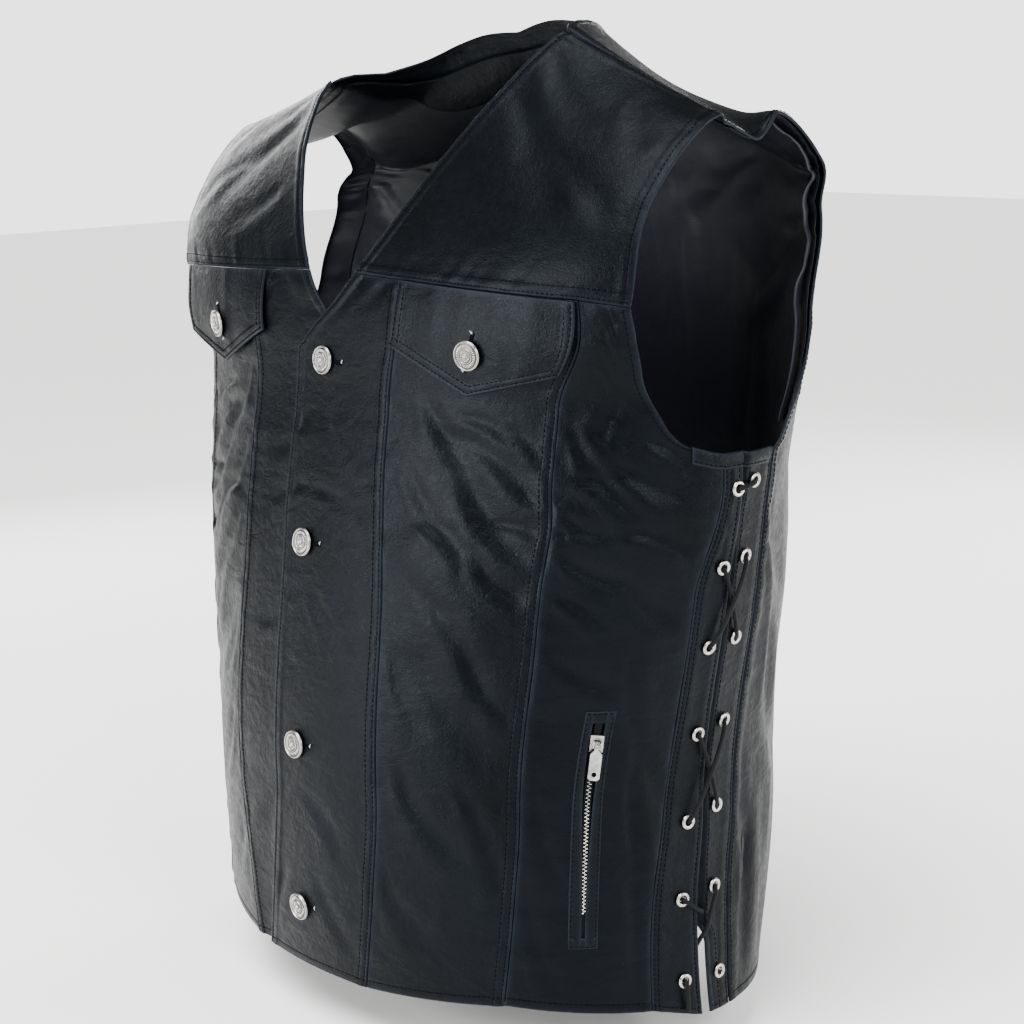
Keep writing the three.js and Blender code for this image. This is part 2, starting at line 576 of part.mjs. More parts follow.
// A geometry as a solid that can be joined or cut, and back.
function toSolid(geometry, matrix = new THREE.Matrix4()) {
  const plain = geometry.clone().applyMatrix4(matrix);
  plain.deleteAttribute('normal');
  plain.deleteAttribute('uv');
  const merged = mergeVertices(plain, 1e-4);
  return new wasm.Manifold(new wasm.Mesh({
    numProp: 3,
    vertProperties: new Float32Array(merged.attributes.position.array),
    triVerts: new Uint32Array(merged.index.array),
  }));
}

function fromSolid(name, solid, material) {
  const { vertProperties, triVerts, numProp } = solid.getMesh();
  const points = [];
  for (let i = 0; i < vertProperties.length; i += numProp) {
    points.push(new THREE.Vector3(vertProperties[i], vertProperties[i + 1], vertProperties[i + 2]));
  }
  const triangles = [];
  for (let i = 0; i < triVerts.length; i += 3) {
    triangles.push([triVerts[i], triVerts[i + 1], triVerts[i + 2]]);
  }
  return solidMesh(name, points, triangles, material);
}

function cut(mesh, cutters) {
  let solid = toSolid(mesh.geometry);
  for (const cutter of cutters) solid = solid.subtract(cutter);
  return fromSolid(mesh.name, solid, mesh.material);
}

// The turn and place that set a fitting on the leather: its +Z points outwards, its +Y up.
function seatMatrix(angle, level, height) {
  const { normal, up } = bodyFrame(angle, level);
  const across = new THREE.Vector3().crossVectors(up, normal).normalize();
  const along = new THREE.Vector3().crossVectors(normal, across);
  const matrix = new THREE.Matrix4().makeBasis(across, along, normal);
  return matrix.setPosition(place(angle, level, height));
}

const sideSign = (side) => (side === 'left' ? 1 : -1);

// Places along the zip, at distances to either side of its middle line.
function zipGrid(offsets, overrun) {
  return [-overrun, 0.2, 0.4, 0.6, 0.8, 1 + overrun].map((row) => offsets.map((offset) => {
    const angle = mix(ZIP.endAngle, ZIP.topAngle, row);
    const level = mix(ZIP.endLevel, ZIP.topLevel, row);
    return { angle: angle + offset * degreesPerMillimetre(angle, level), level };
  }));
}

function zipSlotCutter(side) {
  const grid = onSide(side, zipGrid([-ZIP_SLOT_WIDTH / 2, ZIP_SLOT_WIDTH / 2], ZIP_SLOT_OVERRUN));
  return toSolid(wall('slot', grid, -4 * LEATHER, 4 * LEATHER).geometry);
}

// A lacing strip: a narrow doubled strip along the side, with a hole for each eyelet.
function lacingStrip(name, side, edges, eyelets) {
  const rows = [...LOWER_ROWS, STRIP_TOP];
  const places = (table, key) => rows.map((level) => {
    const angle = smooth(table, 'level', key, level);
    return { angle, level: level + (1 - level / STRIP_TOP) * hemLevel(angle) };
  });
  const grid = ruledGrid(places(...edges[0]), places(...edges[1]), 3, 0);
  const strip = wall(name, onSide(side, grid), -LEATHER, 0, leather(0x14161a));
  const hole = new THREE.CylinderGeometry(STRIP_HOLE / 2, STRIP_HOLE / 2, 14, 8);
  hole.rotateX(Math.PI / 2);
  const cutters = eyelets.map(([angle, level]) => (
    toSolid(hole, seatMatrix(sideSign(side) * angle, level, 0))));
  vest.add(cut(strip, cutters));
}

const frontEyelets = EYELETS.map((pair) => [pair.frontAngle, pair.frontLevel]);
const backEyelets = EYELETS.map((pair) => [pair.backAngle, pair.backLevel]);

function lacingStrips(side) {
  lacingStrip(
    `lace_strip_front_${side}`,
    side,
    [[FRONT_SEAMS, 'lacing'], [FRONT_SEAMS, 'frontEdge']],
    frontEyelets,
  );
  lacingStrip(
    `lace_strip_back_${side}`,
    side,
    [[BACK_SEAMS, 'backEdge'], [BACK_SEAMS, 'backSeam']],
    backEyelets,
  );
}

// A turned fitting: its profile goes round from the hole, or from the axis.
function lathe(profile, segments) {
  return new THREE.LatheGeometry(profile.map(([r, z]) => new THREE.Vector2(r, z)), segments)
    .rotateX(Math.PI / 2);
}

function seated(name, geometry, matrix, material) {
  const mesh = new THREE.Mesh(geometry, material);
  mesh.name = name;
  mesh.applyMatrix4(matrix);
  vest.add(mesh);
}

function eyelets(side) {
  const hole = EYELET_HOLE / 2;
  const rim = EYELET_DIAMETER / 2;
  const profile = [
    [hole, -LEATHER - 0.3], [hole + 0.5, -LEATHER - 0.3], [hole + 0.5, 0.7],
    [rim, 0.7], [rim - 0.7, 1.6], [hole + 0.3, 1.6], [hole, -LEATHER - 0.3],
  ];
  const ring = lathe(profile, 8);
  EYELETS.forEach((pair, i) => {
    const places = { front: [pair.frontAngle, pair.frontLevel], back: [pair.backAngle, pair.backLevel] };
    for (const [part, [angle, level]] of Object.entries(places)) {
      const matrix = seatMatrix(sideSign(side) * angle, level, 0);
      seated(`eyelet_${part}_${side}_${i + 1}`, ring, matrix, metal(0xb9b6ac, 0.3));
    }
  });
}

// Domed button heads on a short neck.
const buttonProfile = (radius) => [
  [0, 0], [radius * 0.5, 0], [radius * 0.5, 0.9], [radius * 0.95, 1.1], [radius, 1.9],
  [radius * 0.9, 2.8], [radius * 0.55, 3.4], [0, 3.7],
];

function buttons() {
  const head = lathe(buttonProfile(BUTTON_DIAMETER / 2), 16);
  for (const { name, angle, level } of FRONT_BUTTONS) {
    seated(name, head, seatMatrix(angle, level, SEAM_GAP), metal(0x9d9c97, 0.35));
  }
  for (const side of ['left', 'right']) {
    const { angle, level } = POCKET_BUTTON;
    const round = sideSign(side) * angle;
    const height = flapLift(round, level) + FLAP_THICKNESS + SEAM_GAP + 0.4;
    const matrix = seatMatrix(round, level, height);
    seated(`pocket_button_${side}`, head, matrix, metal(0x9d9c97, 0.35));
  }
}

// The pocket flap stands off the panel more towards its point and its outer corner.
function flapLift(angle, level) {
  const down = THREE.MathUtils.clamp((4.22 - level) / 0.6, 0, 1);
  const out = THREE.MathUtils.clamp((Math.abs(angle) - 16) / 30, 0, 1);
  const stand = angle < 0 ? FLAP_STAND.right : FLAP_STAND.left;
  return FLAP_STAND.root + down * (FLAP_STAND.edge + stand * out * out);
}

function pocketFlap(side) {
  const shares = [0, 1 / 8, 1 / 4, 3 / 8, 1 / 2, 5 / 8, 3 / 4, 7 / 8, 1];
  const top = shares.map((share) => {
    const angle = mix(15.4, 48.6, share);
    return { angle, level: yokeLevel(angle) - 0.6 * levelsPerMillimetre(angle, 4.2) };
  });
  const bottom = shares.map((share) => ({
    angle: mix(14.6, 46.0, share),
    level: share < 0.5 ? mix(3.87, 3.56, share * 2) : mix(3.56, 3.76, share * 2 - 1),
  }));
  const grid = [0, 0.25, 0.5, 0.75, 1].map((row) => shares.map((share, c) => ({
    angle: mix(bottom[c].angle, top[c].angle, row),
    level: mix(bottom[c].level, top[c].level, row),
  })));
  const under = (r, c, { angle, level }) => flapLift(angle, level);
  const over = (r, c, spot) => under(r, c, spot) + FLAP_THICKNESS;
  vest.add(wall(`pocket_flap_${side}`, onSide(side, grid), under, over, leather(0x16181c)));
}

// The zip behind the slot: a woven tape with the closed chain raised along its middle.
function zipTape(side) {
  const across = [-1, -0.24, -0.2, 0.2, 0.24, 1].map((share) => share * ZIP_TAPE_WIDTH / 2);
  const grid = zipGrid(across, 0);
  const outer = -LEATHER - SEAM_GAP - 1;
  const chain = (r, c) => (c === 2 || c === 3 ? outer + 2.4 : outer);
  const cloth = new THREE.MeshStandardMaterial({ color: 0x1b1c1f, roughness: 0.9, metalness: 0 });
  vest.add(wall(`zip_tape_${side}`, onSide(side, grid), outer - 1, chain, cloth));
}

// The slider rides on the chain. Two lugs hold the pin that the pull tab turns on.
function box(size, centre) {
  return toSolid(new THREE.BoxGeometry(...size).translate(...centre));
}

function crossPin(radius, length) {
  const pin = new THREE.CylinderGeometry(radius, radius, length, 12);
  pin.rotateZ(Math.PI / 2);
  pin.translate(0, PIN_RISE, PIN_HEIGHT);
  return toSolid(pin);
}

function zipSlider(side) {
  const { width, length, thickness, middle } = SLIDER_SIZE;
  let body = box([width, length, thickness], [0, 0, middle]);
  for (const x of [-LUG.across, LUG.across]) {
    body = body.add(box([LUG.width, LUG.length, LUG.height], [x, PIN_RISE, LUG.middle]));
  }
  body = body.add(crossPin(PIN_RADIUS, 5.6));
  const mesh = fromSolid(`zip_slider_${side}`, body, metal(0xc4c4c0, 0.25));
  mesh.applyMatrix4(sliderMatrix(side));
  vest.add(mesh);
}

function sliderMatrix(side) {
  return seatMatrix(sideSign(side) * SLIDER.angle, SLIDER.level, 0);
}

function zipPull(side) {
  const end = PIN_RISE - PULL_LENGTH;
  const neckEnd = PIN_RISE - 5;
  const half = PULL_WIDTH / 2;
  const outline = new THREE.Shape();
  outline.moveTo(-1.5, PIN_RISE);
  outline.lineTo(-1.5, neckEnd + 1);
  outline.lineTo(-half, neckEnd - 1.5);
  outline.lineTo(-half, end + 1.5);
  outline.lineTo(-half + 1.5, end);
  outline.lineTo(half - 1.5, end);
  outline.lineTo(half, end + 1.5);
  outline.lineTo(half, neckEnd - 1.5);
  outline.lineTo(1.5, neckEnd + 1);
  outline.lineTo(1.5, PIN_RISE);
  const hole = new THREE.Path();
  hole.absarc(0, end + 4, 1.7, 0, Math.PI * 2, true);
  outline.holes.push(hole);
  const plate = new THREE.ExtrudeGeometry(outline, {
    depth: PULL_THICKNESS, bevelEnabled: false, curveSegments: 6,
  });
  plate.translate(0, 0, PIN_HEIGHT - PULL_THICKNESS / 2);
  let tab = toSolid(plate);
  tab = tab.add(crossPin(2.1, 3.0));
  tab = tab.subtract(crossPin(PIN_RADIUS + 0.4, 8));
  const mesh = fromSolid(`zip_pull_${side}`, tab, metal(0xc4c4c0, 0.25));
  mesh.applyMatrix4(sliderMatrix(side));
  vest.add(mesh);
}

// The lace's route, knot by knot: heights over and under the strips clear their eyelets.
const LACE_OVER = 3.5;
const LACE_HIGH = 7.0;
const LACE_UNDER = -4.9;
const LACE_DEEP = -8.4;

// Steps exactly from one named knot to the next.
class KnottedCurve extends THREE.Curve {
  constructor(knots) {
    super();
    this.knots = knots;
  }

  getPoint(t, target = new THREE.Vector3()) {
    const place = t * (this.knots.length - 1);
    const i = Math.min(Math.floor(place), this.knots.length - 2);
    return target.lerpVectors(this.knots[i], this.knots[i + 1], place - i);
  }

  getPointAt(u, target) {
    return this.getPoint(u, target);
  }

  getTangentAt(u, target = new THREE.Vector3()) {
    const place = Math.round(u * (this.knots.length - 1));
    const before = this.knots[Math.max(place - 1, 0)];
    const here = this.knots[place];
    const after = this.knots[Math.min(place + 1, this.knots.length - 1)];
    const arriving = here.clone().sub(before).normalize();
    const leaving = after.clone().sub(here).normalize();
    return target.copy(arriving).add(leaving).normalize();
  }
}

function laceKnots(side) {
  const front = (row, height) => [EYELETS[row - 1].frontAngle, EYELETS[row - 1].frontLevel, height];
  const back = (row, height) => [EYELETS[row - 1].backAngle, EYELETS[row - 1].backLevel, height];
  const between = (a, b, height) => [(a[0] + b[0]) / 2, (a[1] + b[1]) / 2, height];
  const strandDown = (first, second, apart) => {
    const knots = [];
    let here = first;
    let there = second;
    for (let row = 1; row <= 5; row += 1) {
      const inside = row % 2 === 1;
      const near = inside ? LACE_UNDER : LACE_OVER;
      const far = inside ? LACE_DEEP : LACE_HIGH;
      knots.push(here(row, near));
      if (apart) knots.push(between(here(row, near), there(row + 1, near), far));
      knots.push(there(row + 1, near));
      [here, there] = [there, here];
    }
    return knots;
  };
  const frontStrand = strandDown(front, back, true);
  const backStrand = strandDown(back, front, false);
  const frontTail = [
    back(6, LACE_OVER), [89.2, 0.45, LACE_OVER], [88.3, 0.37, 2.6], [87.9, 0.33, -1.2],
    [86.6, 0.26, -5.4], front(7, LACE_UNDER), front(7, LACE_OVER), [82.1, 0.07, 3.0],
    [82.2, -0.01, 2.4],
  ];
  const backTail = [
    front(6, LACE_OVER), [86.2, 0.47, LACE_OVER], [87.5, 0.455, 0.6], [88.3, 0.44, -3.2],
    [90.2, 0.32, -6.0], [92.6, 0.16, -6.0],
  ];
  const hidden = side === 'left'
    ? [[92.8, -0.02, -6.0]]
    : [[93.2, -0.07, -5.5], [93.4, -0.15, -3.5], [91.6, -0.19, -3], [89.4, -0.15, -4], [88.6, -0.06, -6.5]];
  const up = [...backTail, ...hidden].reverse();
  return [
    ...up, ...backStrand.slice().reverse(), back(1, LACE_OVER), front(1, LACE_OVER),
    ...frontStrand, ...frontTail,
  ];
}

function lace(side) {
  const knots = laceKnots(side).map(([angle, level, height]) => (
    place(sideSign(side) * angle, level, height)));
  const route = knots.filter((knot, i) => i === 0 || knot.distanceTo(knots[i - 1]) > 0.5);
  const section = new THREE.Shape();
  section.absarc(0, 0, LACE_DIAMETER / 2, 0, Math.PI * 2, false);
  const tube = new THREE.ExtrudeGeometry(section, {
    steps: route.length - 1, curveSegments: 4, bevelEnabled: false, extrudePath: new KnottedCurve(route),
  });
  const cord = new THREE.MeshStandardMaterial({ color: 0x0f1012, roughness: 0.6, metalness: 0 });
  const mesh = new THREE.Mesh(tube, cord);
  mesh.name = `lace_${side}`;
  vest.add(mesh);
}

backPanel();
backInside();
for (const side of ['left', 'right']) {
  frontPanels(side);
  frontYoke(side);
  lacingStrips(side);
  pocketFlap(side);
  eyelets(side);
  zipTape(side);
  zipSlider(side);
  zipPull(side);
  lace(side);
}
buttons();

export default vest;
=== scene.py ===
"""The looks of a worn leather vest: cowhide panels, satin back lining, antique buttons,
laced sides, zipped welt pockets. Metres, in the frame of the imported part."""
import math
import bpy
import numpy as np
from mathutils import Matrix, Vector


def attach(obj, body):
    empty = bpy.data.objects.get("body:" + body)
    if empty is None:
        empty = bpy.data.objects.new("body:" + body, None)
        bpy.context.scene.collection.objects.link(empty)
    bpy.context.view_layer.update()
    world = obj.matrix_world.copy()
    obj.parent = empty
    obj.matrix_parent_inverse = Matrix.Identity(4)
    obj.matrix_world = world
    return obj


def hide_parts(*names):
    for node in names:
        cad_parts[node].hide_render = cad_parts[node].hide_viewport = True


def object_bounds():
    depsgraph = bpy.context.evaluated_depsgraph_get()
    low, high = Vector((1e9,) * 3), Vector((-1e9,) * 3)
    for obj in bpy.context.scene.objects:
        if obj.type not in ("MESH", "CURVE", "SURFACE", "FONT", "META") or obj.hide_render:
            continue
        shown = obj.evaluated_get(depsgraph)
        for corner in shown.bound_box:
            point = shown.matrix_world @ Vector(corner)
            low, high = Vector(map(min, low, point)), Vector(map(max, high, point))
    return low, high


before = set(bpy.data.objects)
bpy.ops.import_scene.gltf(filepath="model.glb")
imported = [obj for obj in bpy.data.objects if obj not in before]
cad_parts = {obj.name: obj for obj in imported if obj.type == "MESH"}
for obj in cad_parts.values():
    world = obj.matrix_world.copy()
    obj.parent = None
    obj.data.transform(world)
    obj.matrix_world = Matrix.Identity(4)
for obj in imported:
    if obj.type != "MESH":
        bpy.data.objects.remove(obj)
cad_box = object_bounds()
BODY = "garment"
MM = 0.001

# ---------------------------------------------------------------- camera, floor and lamps
# The vest is seen from its front left, a little from above, by a lens of about 75 mm.
# The floor is pale paper, and the lamps are large soft boxes as in a shop's studio.
VIEW = {"azimuth": 49.2, "elevation": 11.9, "roll": -1.5, "distance": 1.510, "focal": 2130}
AIM_ACROSS = 0.0258
AIM_HEIGHT = -0.310
FLOOR_DROP = 0.012
LAMPS = [
    {"name": "key", "azimuth": -14, "height": 0.30, "away": 1.9, "size": 0.9, "watts": 62},
    {"name": "front", "azimuth": 72, "height": 0.95, "away": 1.9, "size": 0.7, "watts": 36},
    {"name": "side", "azimuth": 120, "height": 0.15, "away": 1.8, "size": 0.7, "watts": 24},
    {"name": "rim", "azimuth": -105, "height": 0.5, "away": 1.7, "size": 0.7, "watts": 18},
    {"name": "back", "azimuth": 190, "height": 0.7, "away": 2.0, "size": 0.9, "watts": 28},
]
SKY = {"azimuth": 10, "elevation": 66, "spread": 40, "strength": 6.6}
AIR = 0.36


def linear(hex_colour):
    """An sRGB hex colour as linear red, green, blue and full alpha."""
    parts = [int(hex_colour[i:i + 2], 16) / 255 for i in (1, 3, 5)]
    curve = [c / 12.92 if c <= 0.04045 else ((c + 0.055) / 1.055) ** 2.4 for c in parts]
    return (*curve, 1.0)


def add_node(tree, kind, values=(), links=(), **settings):
    """One node with its settings, its socket values and its links from other nodes."""
    node = tree.nodes.new(kind)
    for key, value in settings.items():
        setattr(node, key, value)
    for key, value in dict(values).items():
        node.inputs[key].default_value = value
    for key, (source, output) in dict(links).items():
        tree.links.new(source.outputs[output], node.inputs[key])
    return node


def new_material(name):
    """An empty node material and its tree."""
    material = bpy.data.materials.new(name)
    material.use_nodes = True
    material.node_tree.nodes.clear()
    return material, material.node_tree


def finish_material(tree, shader):
    add_node(tree, "ShaderNodeOutputMaterial", links={"Surface": (shader, "BSDF")})


def aim_at(item, target):
    """Turns a lamp or camera to look at a point."""
    item.rotation_euler = (target - item.location).to_track_quat("-Z", "Y").to_euler()


azimuth = math.radians(VIEW["azimuth"])
elevation = math.radians(VIEW["elevation"])
target = Vector((AIM_ACROSS * math.cos(azimuth), AIM_ACROSS * math.sin(azimuth), AIM_HEIGHT))
towards = Vector((
    math.sin(azimuth) * math.cos(elevation),
    -math.cos(azimuth) * math.cos(elevation),
    math.sin(elevation),
))
lens = bpy.data.cameras.new("camera")
lens.sensor_width = 36
lens.lens = VIEW["focal"] * lens.sensor_width / 1024
lens.clip_start = 0.05
camera = bpy.data.objects.new("camera", lens)
bpy.context.collection.objects.link(camera)
right = Vector((math.cos(azimuth), math.sin(azimuth), 0))
up = towards.cross(right)
roll = math.radians(VIEW["roll"])
turned_right = right * math.cos(roll) + up * math.sin(roll)
turned_up = up * math.cos(roll) - right * math.sin(roll)
place_matrix = Matrix((turned_right, turned_up, towards)).transposed().to_4x4()
place_matrix.translation = target + towards * VIEW["distance"]
camera.matrix_world = place_matrix
bpy.context.scene.camera = camera

bpy.ops.object.select_all(action="DESELECT")
bpy.ops.mesh.primitive_plane_add(size=14, location=(0, 0, cad_box[0][2] - FLOOR_DROP))
floor = bpy.context.object
floor.name = "studio_floor"
# Backdrop paper: matt, white, with no texture of its own.
paper, tree = new_material("matt_paper")
finish_material(tree, add_node(tree, "ShaderNodeBsdfPrincipled", {
    "Base Color": linear("#f2f2f0"), "Roughness": 0.9,
}))
floor.data.materials.append(paper)

middle = Vector((0, 0, -0.33))
for row in LAMPS:
    light = bpy.data.lights.new(f"lamp_{row['name']}", "AREA")
    light.shape = "SQUARE"
    light.size = row["size"]
    light.energy = row["watts"]
    lamp = bpy.data.objects.new(light.name, light)
    bpy.context.collection.objects.link(lamp)
    turn = math.radians(row["azimuth"])
    lamp.location = middle + Vector((
        row["away"] * math.sin(turn), -row["away"] * math.cos(turn), row["height"],
    ))
    aim_at(lamp, middle)
light = bpy.data.lights.new("lamp_sky", "SUN")
light.energy = SKY["strength"]
light.angle = math.radians(SKY["spread"])
lamp = bpy.data.objects.new("lamp_sky", light)
bpy.context.collection.objects.link(lamp)
turn, climb = math.radians(SKY["azimuth"]), math.radians(SKY["elevation"])
lamp.location = middle + 2 * Vector((
    math.sin(turn) * math.cos(climb), -math.cos(turn) * math.cos(climb), math.sin(climb),
))
aim_at(lamp, middle)
# The studio's walls are white behind the vest, and what they throw back on it is dim.
world = bpy.data.worlds.new("studio_air")
world.use_nodes = True
tree = world.node_tree
tree.nodes.clear()
seen = add_node(tree, "ShaderNodeLightPath")
strength = add_node(tree, "ShaderNodeMapRange", {"To Min": AIR, "To Max": 3.0},
                    {"Value": (seen, "Is Camera Ray")})
air = add_node(tree, "ShaderNodeBackground", {"Color": linear("#fbfbfc")},
               {"Strength": (strength, "Result")})
add_node(tree, "ShaderNodeOutputWorld", links={"Surface": (air, "Background")})
bpy.context.scene.world = world

# ---------------------------------------------------------------- laces
# Two thongs of soft black cord lace the sides through the eyelets, from the hem to the
# armhole and down again. Their route is the part's own, knot by knot on the worn form.
SHOULDER = {"slope": 0.40, "swing": 0.20, "lift": 16}
SECTION_KEYS = ("level", "height", "slope", "half", "side_y", "depth", "square")
FRONT = dict(zip(SECTION_KEYS, np.array([
    (0, -605, 0, 228, 0, 160, 2), (1, -465, 0, 226, 0, 166, 2), (2, -325, 0, 248, 0, 150, 2),
    (3, -250, 0, 258, 0, 138, 1.93), (3.5, -205, 0, 258, 0, 129, 2),
    (4, -160, 0, 280, 0, 125, 2.18), (5, -55, 0.095, 254.5, -22.5, 64.3, 3.92),
    (6, 22.4, 0.251, 248, -30.5, 20, 4.19), (7, 54, 0.40, 245, -43, 0, 2),
], float).T))
BACK = dict(zip(SECTION_KEYS, np.array([
    (0, -605, 0, 228, 0, 158, 2), (1, -465, 0, 226, 0, 186, 2), (2, -325, 0, 248, 0, 175, 2),
    (3, -250, 0, 258, 0, 151, 2.1), (4, -160, 0, 274, 0, 135, 2.5),
    (5, -70, 0.12, 262, 0, 116, 3.5), (6, -7.7, 0.296, 256, 12.2, 77.8, 3.2),
    (7, 1.5, 0.187, 249, 15.4, 33.2, 2.6), (7.5, 43.2, 0.401, 246, -21, 11.4, 2),
    (8, 54, 0.40, 245, -43, 0, 2),
], float).T))
BACK_RISES = [
    {"across": 237.2, "width": 19.8, "level": 6.43, "spread": 0.743, "height": 16.7},
    {"across": 44.2, "width": 67.2, "level": 7.41, "spread": 0.512, "height": 41.2},
]
FRONT_TOP = 7
BACK_TOP = 8
FOLD_SPAN = 3.5
# Angle, level, end angle, end level, width and depth of the folds that the solids have too.
FOLDS = [
    (24, 3.3, 41, 2.5, 13, 2.6), (21, 2.5, 40, 1.7, 15, -2.4), (23, 1.7, 43, 1.2, 12, 2.2),
    (52, 3.3, 68, 2.6, 14, -2.2), (52, 2.2, 75, 1.9, 12, 2.4), (68, 1.8, 76, 0.5, 11, -1.8),
    (26, 5.7, 46, 4.8, 16, 2.0), (106, 2.9, 124, 1.2, 16, 3.0), (118, 1.9, 112, 0.2, 14, -3.0),
    (150, 4.6, 128, 3.2, 18, 3.0), (160, 1.4, 140, 0.5, 18, 2.6),
]
# Front angle and level, back angle and level of each pair of eyelets, from the top down.
EYELETS = [
    (87.6, 2.91, 93.4, 2.95), (85.8, 2.20, 92.8, 2.26), (84.8, 1.71, 92.8, 1.73),
    (85.4, 1.31, 93.0, 1.34), (83.8, 0.91, 92.2, 0.95), (82.0, 0.54, 91.4, 0.56),
    (82.0, 0.14, 92.6, 0.13),
]
LACE_WIDTH = 2.9
LACE_OVER = 3.5
LACE_HIGH = 7.0
LACE_UNDER = -4.9
LACE_DEEP = -8.4
SIDES = {"left": 1, "right": -1}


def smooth(x, y, at):
    """Reads a curve through the points x, y smoothly and with no overshoot."""
    x, y, at = (np.asarray(v, float) for v in (x, y, at))
    step = np.diff(x)
    slope = np.diff(y) / step
    tangent = np.zeros_like(y)
    if len(x) == 2:
        tangent[:] = slope[0]
    else:
        before, after = 2 * step[1:] + step[:-1], step[1:] + 2 * step[:-1]
        same = slope[:-1] * slope[1:] > 0
        low, high = np.where(same, slope[:-1], 1), np.where(same, slope[1:], 1)
        tangent[1:-1] = np.where(same, (before + after) / (before / low + after / high), 0)
        for end, near, far, h, g in (
            (0, slope[0], slope[1], step[0], step[1]),
            (-1, slope[-1], slope[-2], step[-1], step[-2]),
        ):
            value = ((2 * h + g) * near - h * far) / (h + g)
            if value * near <= 0:
                value = 0
            elif near * far <= 0 and abs(value) > 3 * abs(near):
                value = 3 * near
            tangent[end] = value
    i = np.clip(np.searchsorted(x, at) - 1, 0, len(step) - 1)
    t = (at - x[i]) / step[i]
    inside = (y[i] * (1 + 2 * t) * (1 - t) ** 2 + y[i + 1] * t * t * (3 - 2 * t)
              + step[i] * tangent[i] * t * (1 - t) ** 2
              + step[i] * tangent[i + 1] * t * t * (t - 1))
    below = y[0] + tangent[0] * (at - x[0])
    above = y[-1] + tangent[-1] * (at - x[-1])
    return np.where(at <= x[0], below, np.where(at >= x[-1], above, inside))


def ease(value):
    t = np.clip(value, 0, 1)
    return t * t * (3 - 2 * t)


def mix(a, b, share):
    return a + (b - a) * share


def half_turn(angle):
    return np.mod(np.asarray(angle, float) + 180, 360) - 180


def body_point(angle, level):
    """Points of the vest's outer form, by degrees round the body and section, in mm."""
    angle, level = np.broadcast_arrays(np.asarray(angle, float), np.asarray(level, float))
    side = np.sin(np.radians(angle))
    in_front = np.abs(half_turn(angle)) <= 90
    points = []
    for table, sign in ((FRONT, 1), (BACK, -1)):
        at = {key: smooth(table["level"], table[key], level) for key in SECTION_KEYS[1:]}
        square = at["square"]
        reach = np.maximum(1 - np.abs(side) ** square, 0) ** (1 / square)
        x = at["half"] * side
        rise = at["slope"] / SHOULDER["slope"]
        outer = np.clip((np.abs(x) - 130) / 110, 0, 1)
        height = (at["height"] - at["slope"] * np.abs(x)
                  + rise * SHOULDER["lift"] * np.tanh(x / 60) * (1 - 0.75 * outer))
        if sign < 0:
            for bump in BACK_RISES:
                across = sum(np.exp(-((x - s * bump["across"]) / bump["width"]) ** 2)
                             for s in (1, -1))
                near = np.exp(-((level - bump["level"]) / bump["spread"]) ** 2)
                height = height + bump["height"] * across * near
        y = at["side_y"] + rise * SHOULDER["swing"] * np.abs(x) - sign * at["depth"] * reach
        points.append(np.stack([x, y, height], -1))
    return np.where(in_front[..., None], points[0], points[1])


def unit(vectors):
    return vectors / np.maximum(np.linalg.norm(vectors, axis=-1, keepdims=True), 1e-9)


def body_frame(angle, level):
    """The outward normal and the upward direction along the leather."""
    top = np.where(np.abs(half_turn(angle)) <= 90, FRONT_TOP, BACK_TOP)
    seat = np.minimum(level, top - 0.02)
    across = body_point(angle + 0.4, seat) - body_point(angle - 0.4, seat)
    upward = unit(body_point(angle, seat + 0.02) - body_point(angle, seat - 0.02))
    return unit(np.cross(across, upward)), upward


def fold_map(angle, level):
    """A place on the flat map of the leather, in mm: round the body and up."""
    flat = np.abs(half_turn(angle)) * FOLD_SPAN
    return flat, smooth(FRONT["level"], FRONT["height"], np.minimum(level, FRONT_TOP))


def fold_depth(angle, level):
    """How far the largest folds press the leather in at a place, in mm."""
    across, upward = fold_map(angle, level)
    depth = np.zeros_like(across)
    for a0, l0, a1, l1, width, deep in FOLDS:
        (x0, y0), (x1, y1) = fold_map(a0, l0), fold_map(a1, l1)
        length = math.hypot(x1 - x0, y1 - y0)
        dx, dy = (x1 - x0) / length, (y1 - y0) / length
        share = ((across - x0) * dx + (upward - y0) * dy) / length
        aside = ((across - x0) * dy - (upward - y0) * dx) / width
        taper = ease(share / 0.3 + 0.3) * ease((1 - share) / 0.3 + 0.3)
        depth += deep * np.exp(-aside ** 2) * taper
    return depth


def place(angle, level, height):
    """A point at a height in mm over or under the outer form, in metres."""
    angle, level = np.asarray(angle, float), np.asarray(level, float)
    normal, _ = body_frame(angle, level)
    lift = np.asarray(height - fold_depth(angle, level))
    return (body_point(angle, level) + normal * lift[..., None]) * MM


